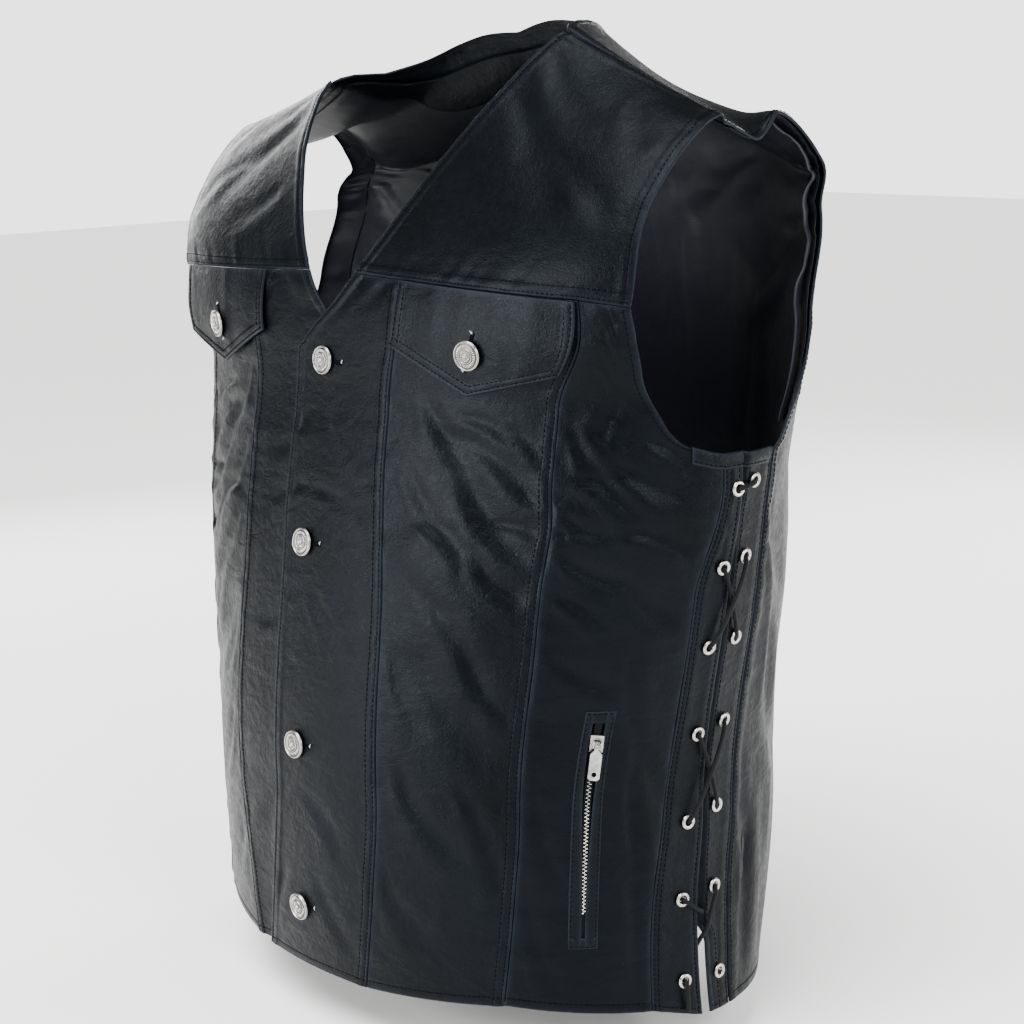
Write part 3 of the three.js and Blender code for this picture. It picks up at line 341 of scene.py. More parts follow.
def lace_knots(side):
    """Angle, level and height of each knot of one lace, from its hidden end."""
    def front(row, height):
        return (EYELETS[row - 1][0], EYELETS[row - 1][1], height)

    def back(row, height):
        return (EYELETS[row - 1][2], EYELETS[row - 1][3], height)

    def strand_down(here, there, apart):
        knots = []
        for row in range(1, 6):
            inside = row % 2 == 1
            near, far = (LACE_UNDER, LACE_DEEP) if inside else (LACE_OVER, LACE_HIGH)
            first, second = here(row, near), there(row + 1, near)
            knots.append(first)
            if apart:
                knots.append(((first[0] + second[0]) / 2, (first[1] + second[1]) / 2, far))
            knots.append(second)
            here, there = there, here
        return knots

    front_tail = [
        back(6, LACE_OVER), (89.2, 0.45, LACE_OVER), (88.3, 0.37, 2.6), (87.9, 0.33, -1.2),
        (86.6, 0.26, -5.4), front(7, LACE_UNDER), front(7, LACE_OVER), (82.1, 0.07, 3.0),
        (82.2, -0.01, 2.4),
    ]
    back_tail = [
        front(6, LACE_OVER), (86.2, 0.47, LACE_OVER), (87.5, 0.455, 0.6), (88.3, 0.44, -3.2),
        (90.2, 0.32, -6.0), (92.6, 0.16, -6.0),
    ]
    hidden = {
        "left": [(92.8, -0.02, -6.0)],
        "right": [(93.2, -0.07, -5.5), (93.4, -0.15, -3.5), (91.6, -0.19, -3),
                  (89.4, -0.15, -4), (88.6, -0.06, -6.5)],
    }[side]
    upward = (back_tail + hidden)[::-1]
    back_strand = strand_down(back, front, False)
    front_strand = strand_down(front, back, True)
    knots = (upward + back_strand[::-1] + [back(1, LACE_OVER), front(1, LACE_OVER)]
             + front_strand + front_tail)
    return [k for i, k in enumerate(knots) if i == 0 or k != knots[i - 1]]


def rounded_route(points, rounds):
    """Cuts the corners of a route, so that the cord bends and isn't kinked."""
    for _ in range(rounds):
        inner = np.repeat(points, 2, axis=0)[1:-1].reshape(-1, 2, 3)
        quarter = np.stack([mix(inner[:, 0], inner[:, 1], 0.25),
                            mix(inner[:, 0], inner[:, 1], 0.75)], 1).reshape(-1, 3)
        points = np.concatenate([points[:1], quarter, points[-1:]])
    return points


# Waxed cotton cord: matt black, with a slight soft sheen of its fibres.
lace_cotton, tree = new_material("waxed_cotton_cord")
where = add_node(tree, "ShaderNodeTexCoord")
fibre = add_node(tree, "ShaderNodeTexWave", {"Scale": 420, "Distortion": 2.0},
                 {"Vector": (where, "Object")}, bands_direction="DIAGONAL")
bump = add_node(tree, "ShaderNodeBump", {"Strength": 0.5, "Distance": 0.0003},
                {"Height": (fibre, "Fac")})
tint = add_node(tree, "ShaderNodeValToRGB", links={"Fac": (fibre, "Fac")})
tint.color_ramp.elements[0].color = linear("#040506")
tint.color_ramp.elements[1].color = linear("#0b0c0f")
finish_material(tree, add_node(tree, "ShaderNodeBsdfPrincipled", {
    "Roughness": 0.62, "Specular IOR Level": 0.10, "Sheen Weight": 0.02, "Sheen Roughness": 0.4,
}, {"Base Color": (tint, "Color"), "Normal": (bump, "Normal")}))

for side, sign in SIDES.items():
    knots = np.array(lace_knots(side))
    route = rounded_route(place(sign * knots[:, 0], knots[:, 1], knots[:, 2]), 2)
    curve = bpy.data.curves.new(f"lace_cord_{side}", "CURVE")
    curve.dimensions = "3D"
    curve.bevel_depth = LACE_WIDTH / 2 * MM
    curve.bevel_resolution = 3
    curve.use_fill_caps = True
    spline = curve.splines.new("POLY")
    spline.points.add(len(route) - 1)
    spline.points.foreach_set("co", np.c_[route, np.ones(len(route))].ravel())
    spline.use_smooth = True
    lace = bpy.data.objects.new(f"lace_cord_{side}", curve)
    bpy.context.collection.objects.link(lace)
    curve.materials.append(lace_cotton)
    length = float(np.linalg.norm(np.diff(route, axis=0), axis=1).sum())
    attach(lace, BODY)
    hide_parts(f"lace_{side}")

# ---------------------------------------------------------------- leather panels
# The shell is black cowhide, 1 to 2 mm thick, cut in yokes, plackets, centre, side and back
# panels. Seams are lapped and topstitched, so the lap stands up and puckers along its thread.
SEAM_GAP = 0.15
HIDE = 1.9
EDGE_ROUND = 1.0
YOKE_ROW = 4.25
STRIP_TOP = 3.17
LAP = 9.0
STITCH_ROWS = (2.4, 8.0)
EDGE_STEPS = (0, 0.25, 0.6, 1.1, 1.8, 2.4, 3.0, 3.9, 5.2, 6.6, 7.5, 8.0, 8.6, 9.6, 11.5)
SEAM_KEYS = ("level", "placket_edge", "placket", "princess", "lacing", "front_edge")
FRONT_SEAMS = dict(zip(SEAM_KEYS, np.array([
    (0, -13.5, 14.5, 43, 73.5, 87.0), (0.5, -8.5, 18.2, 46.3, 74.4, 86.4),
    (1, -6, 20, 48, 77.6, 88.6), (1.5, -6, 19, 47.8, 79.3, 88.9), (2, -6, 17.6, 47, 78.8, 88.8),
    (2.5, -6.3, 16.4, 47, 81.3, 89.2), (3, -6.3, 15.4, 46.0, 82.8, 90.0),
    (3.5, -6.6, 15.0, 46.7, 82.8, 90.3), (4.25, -3, 15.6, 49.0, 82.8, 90.3),
], float).T))
BACK_SEAMS = dict(zip(("level", "back_edge", "back_seam"), np.array([
    (0, 89.6, 96.5), (0.5, 88.5, 95.8), (1, 89.6, 97.8), (1.5, 89.8, 98.3), (2, 89.8, 98.5),
    (3, 90.7, 99.5), (4, 91, 99.5),
], float).T))
NECKLINE = np.array([(4.30, 5.2), (4.45, 8), (4.86, 14.8), (5.31, 20.6), (5.79, 25.2),
                     (6.22, 27.6), (6.62, 29.4), (7, 31)]).T
PLACKET_TOP = np.array([(3.80, -5.4), (3.93, -2.9), (4.12, 1.7), (4.30, 5.2)]).T
# Row, section and angle of the front armhole.
FRONT_ARMHOLE = np.array([
    (3.1, 3.17, 82.8), (3.2, 3.19, 79.2), (3.3, 3.25, 72.9), (3.42, 3.33, 69.4),
    (3.56, 3.50, 66.0), (3.8, 3.77, 60.8), (4.0, 4.00, 58.4), (4.25, 4.20, 58.9),
]).T
YOKE_ARMHOLE = np.array([(4.20, 58.9), (4.46, 63.0), (4.70, 66.2), (4.94, 69.2), (5.14, 71.2),
                         (5.45, 73.8), (5.86, 76.4), (7, 77.5)]).T
BACK_ARMHOLES = {
    "left": np.array([(3.17, 255), (3.4, 256), (3.7, 253), (4, 247), (4.5, 240), (5, 236),
                      (6.2, 238), (7.2, 240), (8, 239.2)]).T,
    "right": np.array([(3.17, 255), (3.4, 259), (3.7, 260), (4, 258), (4.5, 255), (5, 253.5),
                       (5.6, 250), (6.2, 245), (7.2, 241), (8, 239.2)]).T,
}
BACK_NECK = np.array([(0, 6.93), (0.12, 7.02), (0.25, 7.09), (0.36, 7.178), (0.46, 7.41),
                      (0.528, 8), (1, 8)]).T
HEM = np.array([(-14, -0.05), (5, 0), (24, 0.025), (44, 0.065), (60, 0.07), (73, 0.025),
                (80, -0.03), (90, -0.06), (97, -0.06), (115, -0.07), (180, -0.03)]).T
YOKE_STOPS = (5.2, 15.6, 49.0, 58.9)
YOKE_LEVELS = (4.30, 4.285, 4.235, 4.20)


def hem_level(angle):
    return smooth(*HEM, np.abs(half_turn(angle)))


def yoke_level(angle):
    """The yoke seam: straight from one seam under it to the next."""
    return np.interp(np.abs(angle), YOKE_STOPS, YOKE_LEVELS)


def seam_line(rows, key):
    """Angle and section of a seam under the yoke, row by row."""
    angle = smooth(FRONT_SEAMS["level"], FRONT_SEAMS[key], rows)
    share = rows / YOKE_ROW
    rise = (1 - share) * hem_level(angle) + share * (yoke_level(angle) - YOKE_ROW)
    return angle, rows + rise


def placket_edge_line(rows):
    """The placket's free edge: up from the hem, then slanting along the neckline."""
    angle = smooth(FRONT_SEAMS["level"], FRONT_SEAMS["placket_edge"], rows)
    level = rows + (1 - rows / YOKE_ROW) * hem_level(np.maximum(angle, -14))
    corner, top = PLACKET_TOP[0][0], PLACKET_TOP[0][-1]
    slanted = mix(corner, top, (rows - corner) / (YOKE_ROW - corner))
    above = rows > corner
    return (np.where(above, smooth(*PLACKET_TOP, slanted), angle),
            np.where(above, slanted, level))


def side_edge_line(rows):
    """The side panel's outer edge: the lacing seam, then the armhole up to the yoke."""
    seam_rows = np.array([0, 0.3, 0.6, 0.95, 1.3, 1.65, 2, 2.35, 2.7, 2.95])
    angle = smooth(FRONT_SEAMS["level"], FRONT_SEAMS["lacing"], seam_rows)
    level = seam_rows + (1 - seam_rows / YOKE_ROW) * hem_level(angle)
    knots = np.concatenate([seam_rows, FRONT_ARMHOLE[0]])
    return (smooth(knots, np.concatenate([angle, FRONT_ARMHOLE[2]]), rows),
            smooth(knots, np.concatenate([level, FRONT_ARMHOLE[1]]), rows))


def strip_line(rows, table, key):
    angle = smooth(table["level"], table[key], rows)
    return angle, rows + (1 - rows / STRIP_TOP) * hem_level(angle)


def spaced(length, steps, apart):
    """Shares of a length in mm: close at both ends for the seams, even between them."""
    steps = np.array(steps) * min(1, 0.42 * length / steps[-1])
    count = max(int(round((length - 2 * steps[-1]) / apart)), 1)
    between = np.linspace(steps[-1], length - steps[-1], count + 1)
    return np.concatenate([steps[:-1], between, (length - steps[:-1])[::-1]]) / length


def ruled(left, right, width, apart=3.2, steps=EDGE_STEPS):
    """A grid of places between two edges; its columns keep their distance from each edge."""
    samples = np.linspace(0, 1, 13)
    angle = mix(left[0][:, None], right[0][:, None], samples)
    level = mix(left[1][:, None], right[1][:, None], samples)
    points = body_point(angle, level)
    widths = np.linalg.norm(np.diff(points, axis=1), axis=2).sum(axis=1)
    model = spaced(width, steps, apart)
    count = len(steps)
    shares = np.empty((len(widths), len(model)))
    for r, row_width in enumerate(widths):
        near = np.array(steps) * min(1, 0.42 * row_width / steps[-1]) / row_width
        inner = (model[count - 1:-count + 1] - model[count - 1]) / (1 - 2 * model[count - 1])
        shares[r] = np.concatenate([near[:-1], near[-1] + inner * (1 - 2 * near[-1]),
                                    1 - near[:-1][::-1]])
    inset = SEAM_GAP / widths[:, None]
    shares = inset + shares * (1 - 2 * inset)
    return (mix(left[0][:, None], right[0][:, None], shares),
            mix(left[1][:, None], right[1][:, None], shares))


def rows_between(low, high, low_rate, high_rate, apart=3.0, steps=EDGE_STEPS):
    """Row numbers from edge to edge; the rates are sections to the mm at either end."""
    start = low + np.array(steps) * low_rate
    stop = high - (np.array(steps) * high_rate)[::-1]
    mean = (low_rate + high_rate) / 2
    count = max(int(round((stop[0] - start[-1]) / (apart * mean))), 2)
    return np.concatenate([start[:-1], np.linspace(start[-1], stop[0], count + 1), stop[1:]])


def edge_distances(angle, level):
    """Distances in mm of each place from the left, right, bottom and top edge."""
    points = body_point(angle, level)
    across = np.linalg.norm(np.diff(points, axis=1), axis=2)
    along = np.linalg.norm(np.diff(points, axis=0), axis=2)
    zero_column = np.zeros((len(angle), 1))
    zero_row = np.zeros((1, angle.shape[1]))
    left = np.concatenate([zero_column, np.cumsum(across, axis=1)], axis=1)
    bottom = np.concatenate([zero_row, np.cumsum(along, axis=0)], axis=0)
    return {"left": left, "right": left[:, -1:] - left,
            "bottom": bottom, "top": bottom[-1:] - bottom}


def uneven(seed, count, low, high):
    """Random heights that a seam's puckers or a fold's edge takes, the same each run."""
    return np.random.default_rng(seed).uniform(low, high, count)


def ripple(along, seed, spacing, low=0.0, high=1.0):
    """An uneven wave along a seam: random heights at uneven knots, joined smoothly."""
    reach = float(np.max(along)) + 4 * spacing
    gaps = uneven(seed, int(reach / spacing * 1.6) + 4, 0.6 * spacing, 1.5 * spacing)
    knots = np.concatenate([[-spacing], -spacing + np.cumsum(gaps)])
    return smooth(knots, uneven(seed + 1, len(knots), low, high), along)


def rounded_edge(distance, radius=EDGE_ROUND):
    near = np.clip(radius - distance, 0, radius)
    return np.sqrt(np.maximum(radius ** 2 - near ** 2, 0)) - radius


def lap_height(distance, along, seed, lapped=True, puckers=1.0, rows=STITCH_ROWS):
    """Height in mm of a stitched edge: its lap, the grooves of its thread and its puckers."""
    height = rounded_edge(distance, EDGE_ROUND if lapped else 0.6)
    if lapped:
        height = height + 0.55 * ease((LAP + 1.5 - distance) / 3.0)
    for row in rows:
        height = height - 0.38 * np.exp(-((distance - row) / 0.75) ** 2)
    wave = ripple(along, seed, 7.5) - 0.5
    reach = ripple(along, seed + 7, 16, 5, 24)
    fade = np.where(distance < 8, ease(distance / 3.5), np.exp(-(distance - 8) / reach))
    return height + 1.7 * puckers * wave * fade


def shell(name, grid, outer, thickness, finish, inside=None):
    """A closed thin wall on the worn form. outer is the height in mm of its outer face."""
    angle, level = grid
    outer = np.broadcast_to(outer, angle.shape)
    normal, _ = body_frame(angle, level)
    base = body_point(angle, level)
    fold = fold_depth(angle, level)
    faces_out = (base + normal * (outer - fold)[..., None]) * MM
    depth = np.minimum(rounded_edge(edge_min(angle, level)), 0)
    under = outer - depth - thickness
    faces_in = (base + normal * (under - fold)[..., None]) * MM
    rows, columns = angle.shape
    points = np.concatenate([faces_out.reshape(-1, 3), faces_in.reshape(-1, 3)])
    index = np.arange(rows * columns).reshape(rows, columns)
    back = index + rows * columns
    front_quads = np.stack([index[:-1, :-1], index[:-1, 1:], index[1:, 1:], index[1:, :-1]], -1)
    back_quads = np.stack([back[:-1, :-1], back[1:, :-1], back[1:, 1:], back[:-1, 1:]], -1)
    sides = [
        np.stack([back[:-1, 0], index[:-1, 0], index[1:, 0], back[1:, 0]], -1),
        np.stack([index[:-1, -1], back[:-1, -1], back[1:, -1], index[1:, -1]], -1),
        np.stack([back[0, :-1], back[0, 1:], index[0, 1:], index[0, :-1]], -1),
        np.stack([index[-1, :-1], index[-1, 1:], back[-1, 1:], back[-1, :-1]], -1),
    ]
    quads = np.concatenate([front_quads.reshape(-1, 4), back_quads.reshape(-1, 4), *sides])
    mesh = bpy.data.meshes.new(name)
    mesh.from_pydata(points.tolist(), [], quads.tolist())
    away = edge_min(angle, level).ravel()
    wear = mesh.attributes.new("edge_wear", "FLOAT", "POINT")
    near = np.exp(-away / 1.6)
    wear.data.foreach_set("value", np.concatenate([near, np.zeros_like(near)]))
    mesh.materials.append(finish)
    if inside is not None:
        mesh.materials.append(inside)
        slots = np.zeros(len(quads), int)
        first = front_quads.reshape(-1, 4).shape[0]
        slots[first:2 * first] = 1
        mesh.polygons.foreach_set("material_index", slots)
    mesh.polygons.foreach_set("use_smooth", np.ones(len(quads), bool))
    mesh.set_sharp_from_angle(angle=math.radians(55))
    piece = bpy.data.objects.new(name, mesh)
    bpy.context.collection.objects.link(piece)
    spans = np.linalg.norm(np.diff(faces_out, axis=1), axis=2)
    rises = np.linalg.norm(np.diff(faces_out, axis=0), axis=2)
    cut = (float(spans.sum(axis=1).max()), float(rises.sum(axis=0).max()))
    area = float((spans[:-1] * (rises[:, :-1] + rises[:, 1:]) / 2).sum())
    return {"piece": piece, "outer": faces_out, "normal": normal, "cut": cut, "area": area,
            "edges": edge_distances(angle, level)}


def edge_min(angle, level):
    edges = edge_distances(angle, level)
    return np.minimum.reduce(list(edges.values()))


def dress(panel, node):
    """Parents a cloth piece to the body, hides the part that it stands for and notes the size that it
    was cut to in CUTS.
    """
    piece = panel["piece"]
    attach(piece, BODY)
    if node:
        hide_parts(node)
    width, length = (round(v, 3) for v in panel["cut"])
    area = round(min(panel["area"], 0.999 * width * length), 4)
    CUTS[piece.name] = (width, length, area)


CUTS = {}


def mirror(side, grid):
    """A grid for either side of the body, with its columns still running the same way."""
    angle, level = grid
    return grid if side == "left" else (-angle[:, ::-1], level[:, ::-1])


def flip(side, values):
    return values if side == "left" else values[:, ::-1]


# Full-grain cowhide, drum dyed and finished with a thin satin pigment coat: near black with
# a cool sheen, fine pores, short creases, and a paler rub along its turned edges.
def leather_material(name, shade, glow, worn, rough, pore, crease):
    material, tree = new_material(name)
    where = add_node(tree, "ShaderNodeTexCoord")
    cloud = add_node(tree, "ShaderNodeTexNoise", {"Scale": 9, "Detail": 4, "Roughness": 0.6},
                     {"Vector": (where, "Object")})
    tint = add_node(tree, "ShaderNodeValToRGB", links={"Fac": (cloud, "Fac")})
    tint.color_ramp.elements[0].position = 0.35
    tint.color_ramp.elements[0].color = linear(shade)
    tint.color_ramp.elements[1].position = 0.70
    tint.color_ramp.elements[1].color = linear(glow)
    # Pores of cowhide are 0.5 to 1 mm apart; they are drawn 1.6 mm apart so that they show.
    pores = add_node(tree, "ShaderNodeTexVoronoi", {"Scale": 1 / (pore * MM)},
                     {"Vector": (where, "Object")}, feature="DISTANCE_TO_EDGE")
    valley = add_node(tree, "ShaderNodeMapRange", {"From Max": 0.28}, {"Value": (pores, "Distance")})
    # Creases of worn hide run for 10 to 30 mm and are a few tenths deep.
    stretch = add_node(tree, "ShaderNodeMapping", {"Scale": (1.0, 1.0, 1.7)},
                       {"Vector": (where, "Object")})
    wrinkle = add_node(tree, "ShaderNodeTexNoise", {
        "Scale": 46, "Detail": 5, "Roughness": 0.55, "Distortion": 0.5,
    }, {"Vector": (stretch, "Vector")})
    fine = add_node(tree, "ShaderNodeTexNoise", {"Scale": 230, "Detail": 3},
                    {"Vector": (where, "Object")})
    coarse_bump = add_node(tree, "ShaderNodeBump", {"Strength": crease, "Distance": 0.0022},
                           {"Height": (wrinkle, "Fac")})
    # Where the hide has been flexed it crazes into small cells, 2 to 4 mm across.
    bent = add_node(tree, "ShaderNodeMix", {0: 0.012},
                    {6: (stretch, "Vector"), 7: (wrinkle, "Color")}, data_type="RGBA")
    cells = add_node(tree, "ShaderNodeTexVoronoi", {"Scale": 290}, {"Vector": (bent, 2)},
                     feature="DISTANCE_TO_EDGE")
    crack = add_node(tree, "ShaderNodeMapRange", {"From Max": 0.22}, {"Value": (cells, "Distance")})
    flexed = add_node(tree, "ShaderNodeTexNoise", {"Scale": 17, "Detail": 2},
                      {"Vector": (where, "Object")})
    patch = add_node(tree, "ShaderNodeMapRange", {"From Min": 0.44, "From Max": 0.70, "To Max": 0.22},
                     {"Value": (flexed, "Fac")})
    crazing = add_node(tree, "ShaderNodeBump", {"Distance": 0.0007}, {
        "Strength": (patch, "Result"), "Height": (crack, "Result"),
        "Normal": (coarse_bump, "Normal"),
    })
    fine_bump = add_node(tree, "ShaderNodeBump", {"Strength": 0.45, "Distance": 0.0007},
                         {"Height": (fine, "Fac"), "Normal": (crazing, "Normal")})
    grain = add_node(tree, "ShaderNodeBump", {"Strength": 0.30, "Distance": 0.0003},
                     {"Height": (valley, "Result"), "Normal": (fine_bump, "Normal")})
    rub = add_node(tree, "ShaderNodeAttribute", attribute_name="edge_wear")
    patchy = add_node(tree, "ShaderNodeMath", links={0: (rub, "Fac"), 1: (wrinkle, "Fac")},
                      operation="MULTIPLY")
    colour = add_node(tree, "ShaderNodeMix", {7: linear(worn)},
                      {0: (patchy, "Value"), 6: (tint, "Color")}, data_type="RGBA")
    gloss = add_node(tree, "ShaderNodeMapRange", {
        "From Min": 0.3, "From Max": 0.7, "To Min": rough - 0.06, "To Max": rough + 0.09,
    }, {"Value": (fine, "Fac")})
    finish_material(tree, add_node(tree, "ShaderNodeBsdfPrincipled", {
        "IOR": 1.5, "Specular IOR Level": 0.072, "Specular Tint": linear("#c3cfe0"),
        "Coat Weight": 0.02, "Coat Roughness": 0.3,
    }, {"Base Color": (colour, 2), "Roughness": (gloss, "Result"), "Normal": (grain, "Normal")}))
    return material


cowhide = leather_material("satin_cowhide", "#020304", "#06080b", "#1c2027", 0.35, 1.6, 0.6)
yoke_hide = leather_material("smooth_cowhide", "#020304", "#05070a", "#1a1e25", 0.38, 1.6, 0.34)
strap_hide = leather_material("lacing_cowhide", "#030405", "#07090d", "#1e2229", 0.33, 1.5, 0.6)

# Lining satin: black acetate, woven with long floats, so that its folds shine softly.
def satin_material(name, base):
    material, tree = new_material(name)
    where = add_node(tree, "ShaderNodeTexCoord")
    # Threads are 0.2 mm apart; they are drawn 1 mm apart so that they show.
    thread = add_node(tree, "ShaderNodeTexWave", {"Scale": 160, "Distortion": 0.6},
                      {"Vector": (where, "Object")}, bands_direction="Z")
    drift = add_node(tree, "ShaderNodeTexNoise", {"Scale": 30, "Detail": 3},
                     {"Vector": (where, "Object")})
    slack = add_node(tree, "ShaderNodeBump", {"Strength": 0.5, "Distance": 0.003},
                     {"Height": (drift, "Fac")})
    weave = add_node(tree, "ShaderNodeBump", {"Strength": 0.12, "Distance": 0.0002},
                     {"Height": (thread, "Fac"), "Normal": (slack, "Normal")})
    finish_material(tree, add_node(tree, "ShaderNodeBsdfPrincipled", {
        "Base Color": linear(base), "Roughness": 0.46, "Specular IOR Level": 0.16,
        "Sheen Weight": 0.02, "Sheen Roughness": 0.35,
    }, {"Normal": (weave, "Normal")}))
    return material


satin = satin_material("acetate_satin", "#12141b")

# Angle, level, end angle, end level, width, depth, bow and side (0 for both) of soft
# creases, in mm. Each is a trough with a lower ridge beside it.
FRONT_CREASES = [
    (22, 3.55, 33, 3.05, 7, 1.5, 6, 0), (26, 3.30, 44, 2.75, 8, 1.6, -8, 0),
    (20, 3.05, 30, 2.45, 6, 1.0, 5, 0), (30, 3.00, 45, 2.30, 9, 1.4, 7, 0),
    (22, 2.60, 34, 2.20, 6, 1.1, -5, 0), (33, 2.45, 46, 1.95, 7, 1.4, 6, 0),
    (24, 2.05, 40, 1.45, 9, 1.3, -8, 0), (20, 1.70, 30, 1.30, 7, 1.0, 4, 0),
    (34, 1.75, 46, 1.40, 6, 1.1, 5, 0), (24, 1.20, 38, 0.75, 8, 1.3, 8, 0),
    (36, 1.15, 45, 0.55, 7, 1.0, -4, 0), (18, 0.75, 30, 0.30, 9, 1.1, 6, 0),
    (38, 3.40, 46, 3.15, 5, 1.2, 3, 1), (40, 2.95, 46, 2.80, 4, 1.0, 2, 1),
    (36, 2.62, 46, 2.50, 5, 1.0, -3, 0), (39, 2.10, 46, 2.02, 4, 0.9, 2, 0),
    (28, 3.42, 40, 3.22, 5, 1.0, -4, 0), (21, 2.35, 27, 2.05, 5, 0.8, 3, -1),
    (49, 3.35, 60, 3.00, 7, 1.4, 6, 0), (50, 3.05, 66, 2.55, 8, 1.5, -7, 0),
    (56, 3.20, 74, 2.90, 8, 1.4, 6, 0), (48, 2.75, 58, 2.55, 5, 1.2, 3, 0),
    (60, 2.60, 78, 2.30, 7, 1.3, -5, 0), (49, 2.40, 64, 2.15, 6, 1.5, 5, 0),
    (62, 2.20, 77, 1.85, 8, 1.3, 6, 0), (49, 2.05, 60, 1.85, 5, 1.1, -3, 0),
    (50, 1.72, 66, 1.55, 6, 1.2, 4, 0), (66, 1.80, 76, 1.10, 8, 1.4, 8, 0),
    (70, 1.30, 74, 0.40, 7, 1.2, 5, 0), (50, 1.20, 56, 0.60, 7, 1.0, 4, 0),
    (66, 0.90, 72, 0.15, 8, 1.1, -4, 0), (48, 0.60, 55, 0.10, 7, 0.9, 3, 0),
    (64, 3.30, 76, 3.00, 6, 1.1, -4, 0), (60, 3.62, 54, 3.20, 7, 1.2, 5, 0),
    (2, 3.35, 12, 2.95, 6, 0.9, 4, 0), (0, 2.75, 13, 2.45, 6, 0.8, -4, 0),
    (2, 1.90, 14, 1.62, 6, 0.9, 4, 0), (-2, 0.95, 12, 0.65, 7, 0.9, -4, 0),
    (4, 0.55, 13, 0.15, 6, 0.8, 3, 0),
]
YOKE_CREASES = [
    (30, 6.3, 46, 5.5, 12, 0.9, 8, 0), (40, 5.2, 58, 4.75, 12, 0.8, -6, 0),
    (20, 4.9, 34, 4.6, 10, 0.7, 5, 0), (52, 6.2, 62, 5.4, 12, 0.7, 6, 0),
    (26, 5.6, 36, 5.1, 9, 0.6, -4, 0),
]
BACK_CREASES = [
    (101, 2.95, 116, 1.90, 10, 1.6, 10, 0), (103, 2.40, 112, 1.30, 9, 1.4, -8, 0),
    (108, 1.90, 120, 0.90, 11, 1.8, 8, 0), (100, 1.30, 106, 0.35, 9, 1.5, 5, 0),
    (112, 1.00, 116, 0.05, 12, 1.9, 6, 0), (122, 1.60, 126, 0.25, 12, 1.8, -7, 0),
    (130, 1.20, 131, 0.05, 13, 1.8, 6, 0), (104, 0.80, 103, 0.02, 9, 1.6, 3, 0),
    (118, 3.10, 134, 2.30, 12, 1.4, 10, 0), (126, 2.60, 146, 1.90, 12, 1.5, -9, 0),
    (140, 2.30, 158, 1.60, 14, 1.4, 10, 0), (150, 1.30, 164, 0.80, 13, 1.3, -7, 0),
    (142, 0.85, 145, 0.05, 12, 1.5, 5, 0), (158, 0.75, 160, 0.05, 12, 1.4, -4, 0),
    (170, 2.00, 176, 1.10, 12, 1.1, 5, -1), (110, 3.70, 128, 3.10, 11, 1.3, 8, 0),
    (128, 4.50, 150, 3.80, 14, 1.4, 10, 0), (150, 5.00, 168, 4.40, 14, 1.1, -8, 0),
    (140, 5.60, 156, 5.10, 12, 1.0, 6, 0), (120, 5.20, 134, 4.60, 12, 1.1, 8, 0),
]


def crease_height(angle, level, creases):
    """How far soft creases raise or sink the leather at a place, in mm."""
    across, upward = fold_map(angle, level)
    turn = np.sign(half_turn(angle))
    height = np.zeros_like(across)
    for a0, l0, a1, l1, width, deep, bow, side in creases:
        (x0, y0), (x1, y1) = fold_map(a0, l0), fold_map(a1, l1)
        length = math.hypot(x1 - x0, y1 - y0)
        dx, dy = (x1 - x0) / length, (y1 - y0) / length
        share = ((across - x0) * dx + (upward - y0) * dy) / length
        aside = (across - x0) * dy - (upward - y0) * dx
        aside = (aside - bow * 4 * share * (1 - share)) / (width * (0.55 + 0.6 * share))
        taper = ease(share / 0.35 + 0.25) * ease((1 - share) / 0.35 + 0.25)
        shape = 0.55 * np.exp(-(aside - 1.5) ** 2) - np.exp(-aside ** 2)
        here = 1.35 * taper * deep * shape
        height += np.where((side == 0) | (turn == side), here, 0.0)
    return height


def seam_ends(edges):
    """1 inside a panel and 0 at its seams, where creases die out."""
    return (ease((edges["left"] - 3) / 12) * ease((edges["right"] - 3) / 12)
            * ease((edges["top"] - 3) / 12))


def right_seam_angle(rows):
    """The right front's placket seam, further round than the left one's."""
    return np.maximum(smooth(FRONT_SEAMS["level"], FRONT_SEAMS["placket"], rows) + 1.5, 19)


def underlap(angle, level):
    """How far the right placket dips under the left one."""
    seam = -right_seam_angle(level)
    cover = smooth(FRONT_SEAMS["level"], FRONT_SEAMS["placket_edge"], level) - 1.2
    return -(2.0 + 1.0) * ease((angle - seam) / (cover - seam)) * ease((4.28 - level) / 0.24)


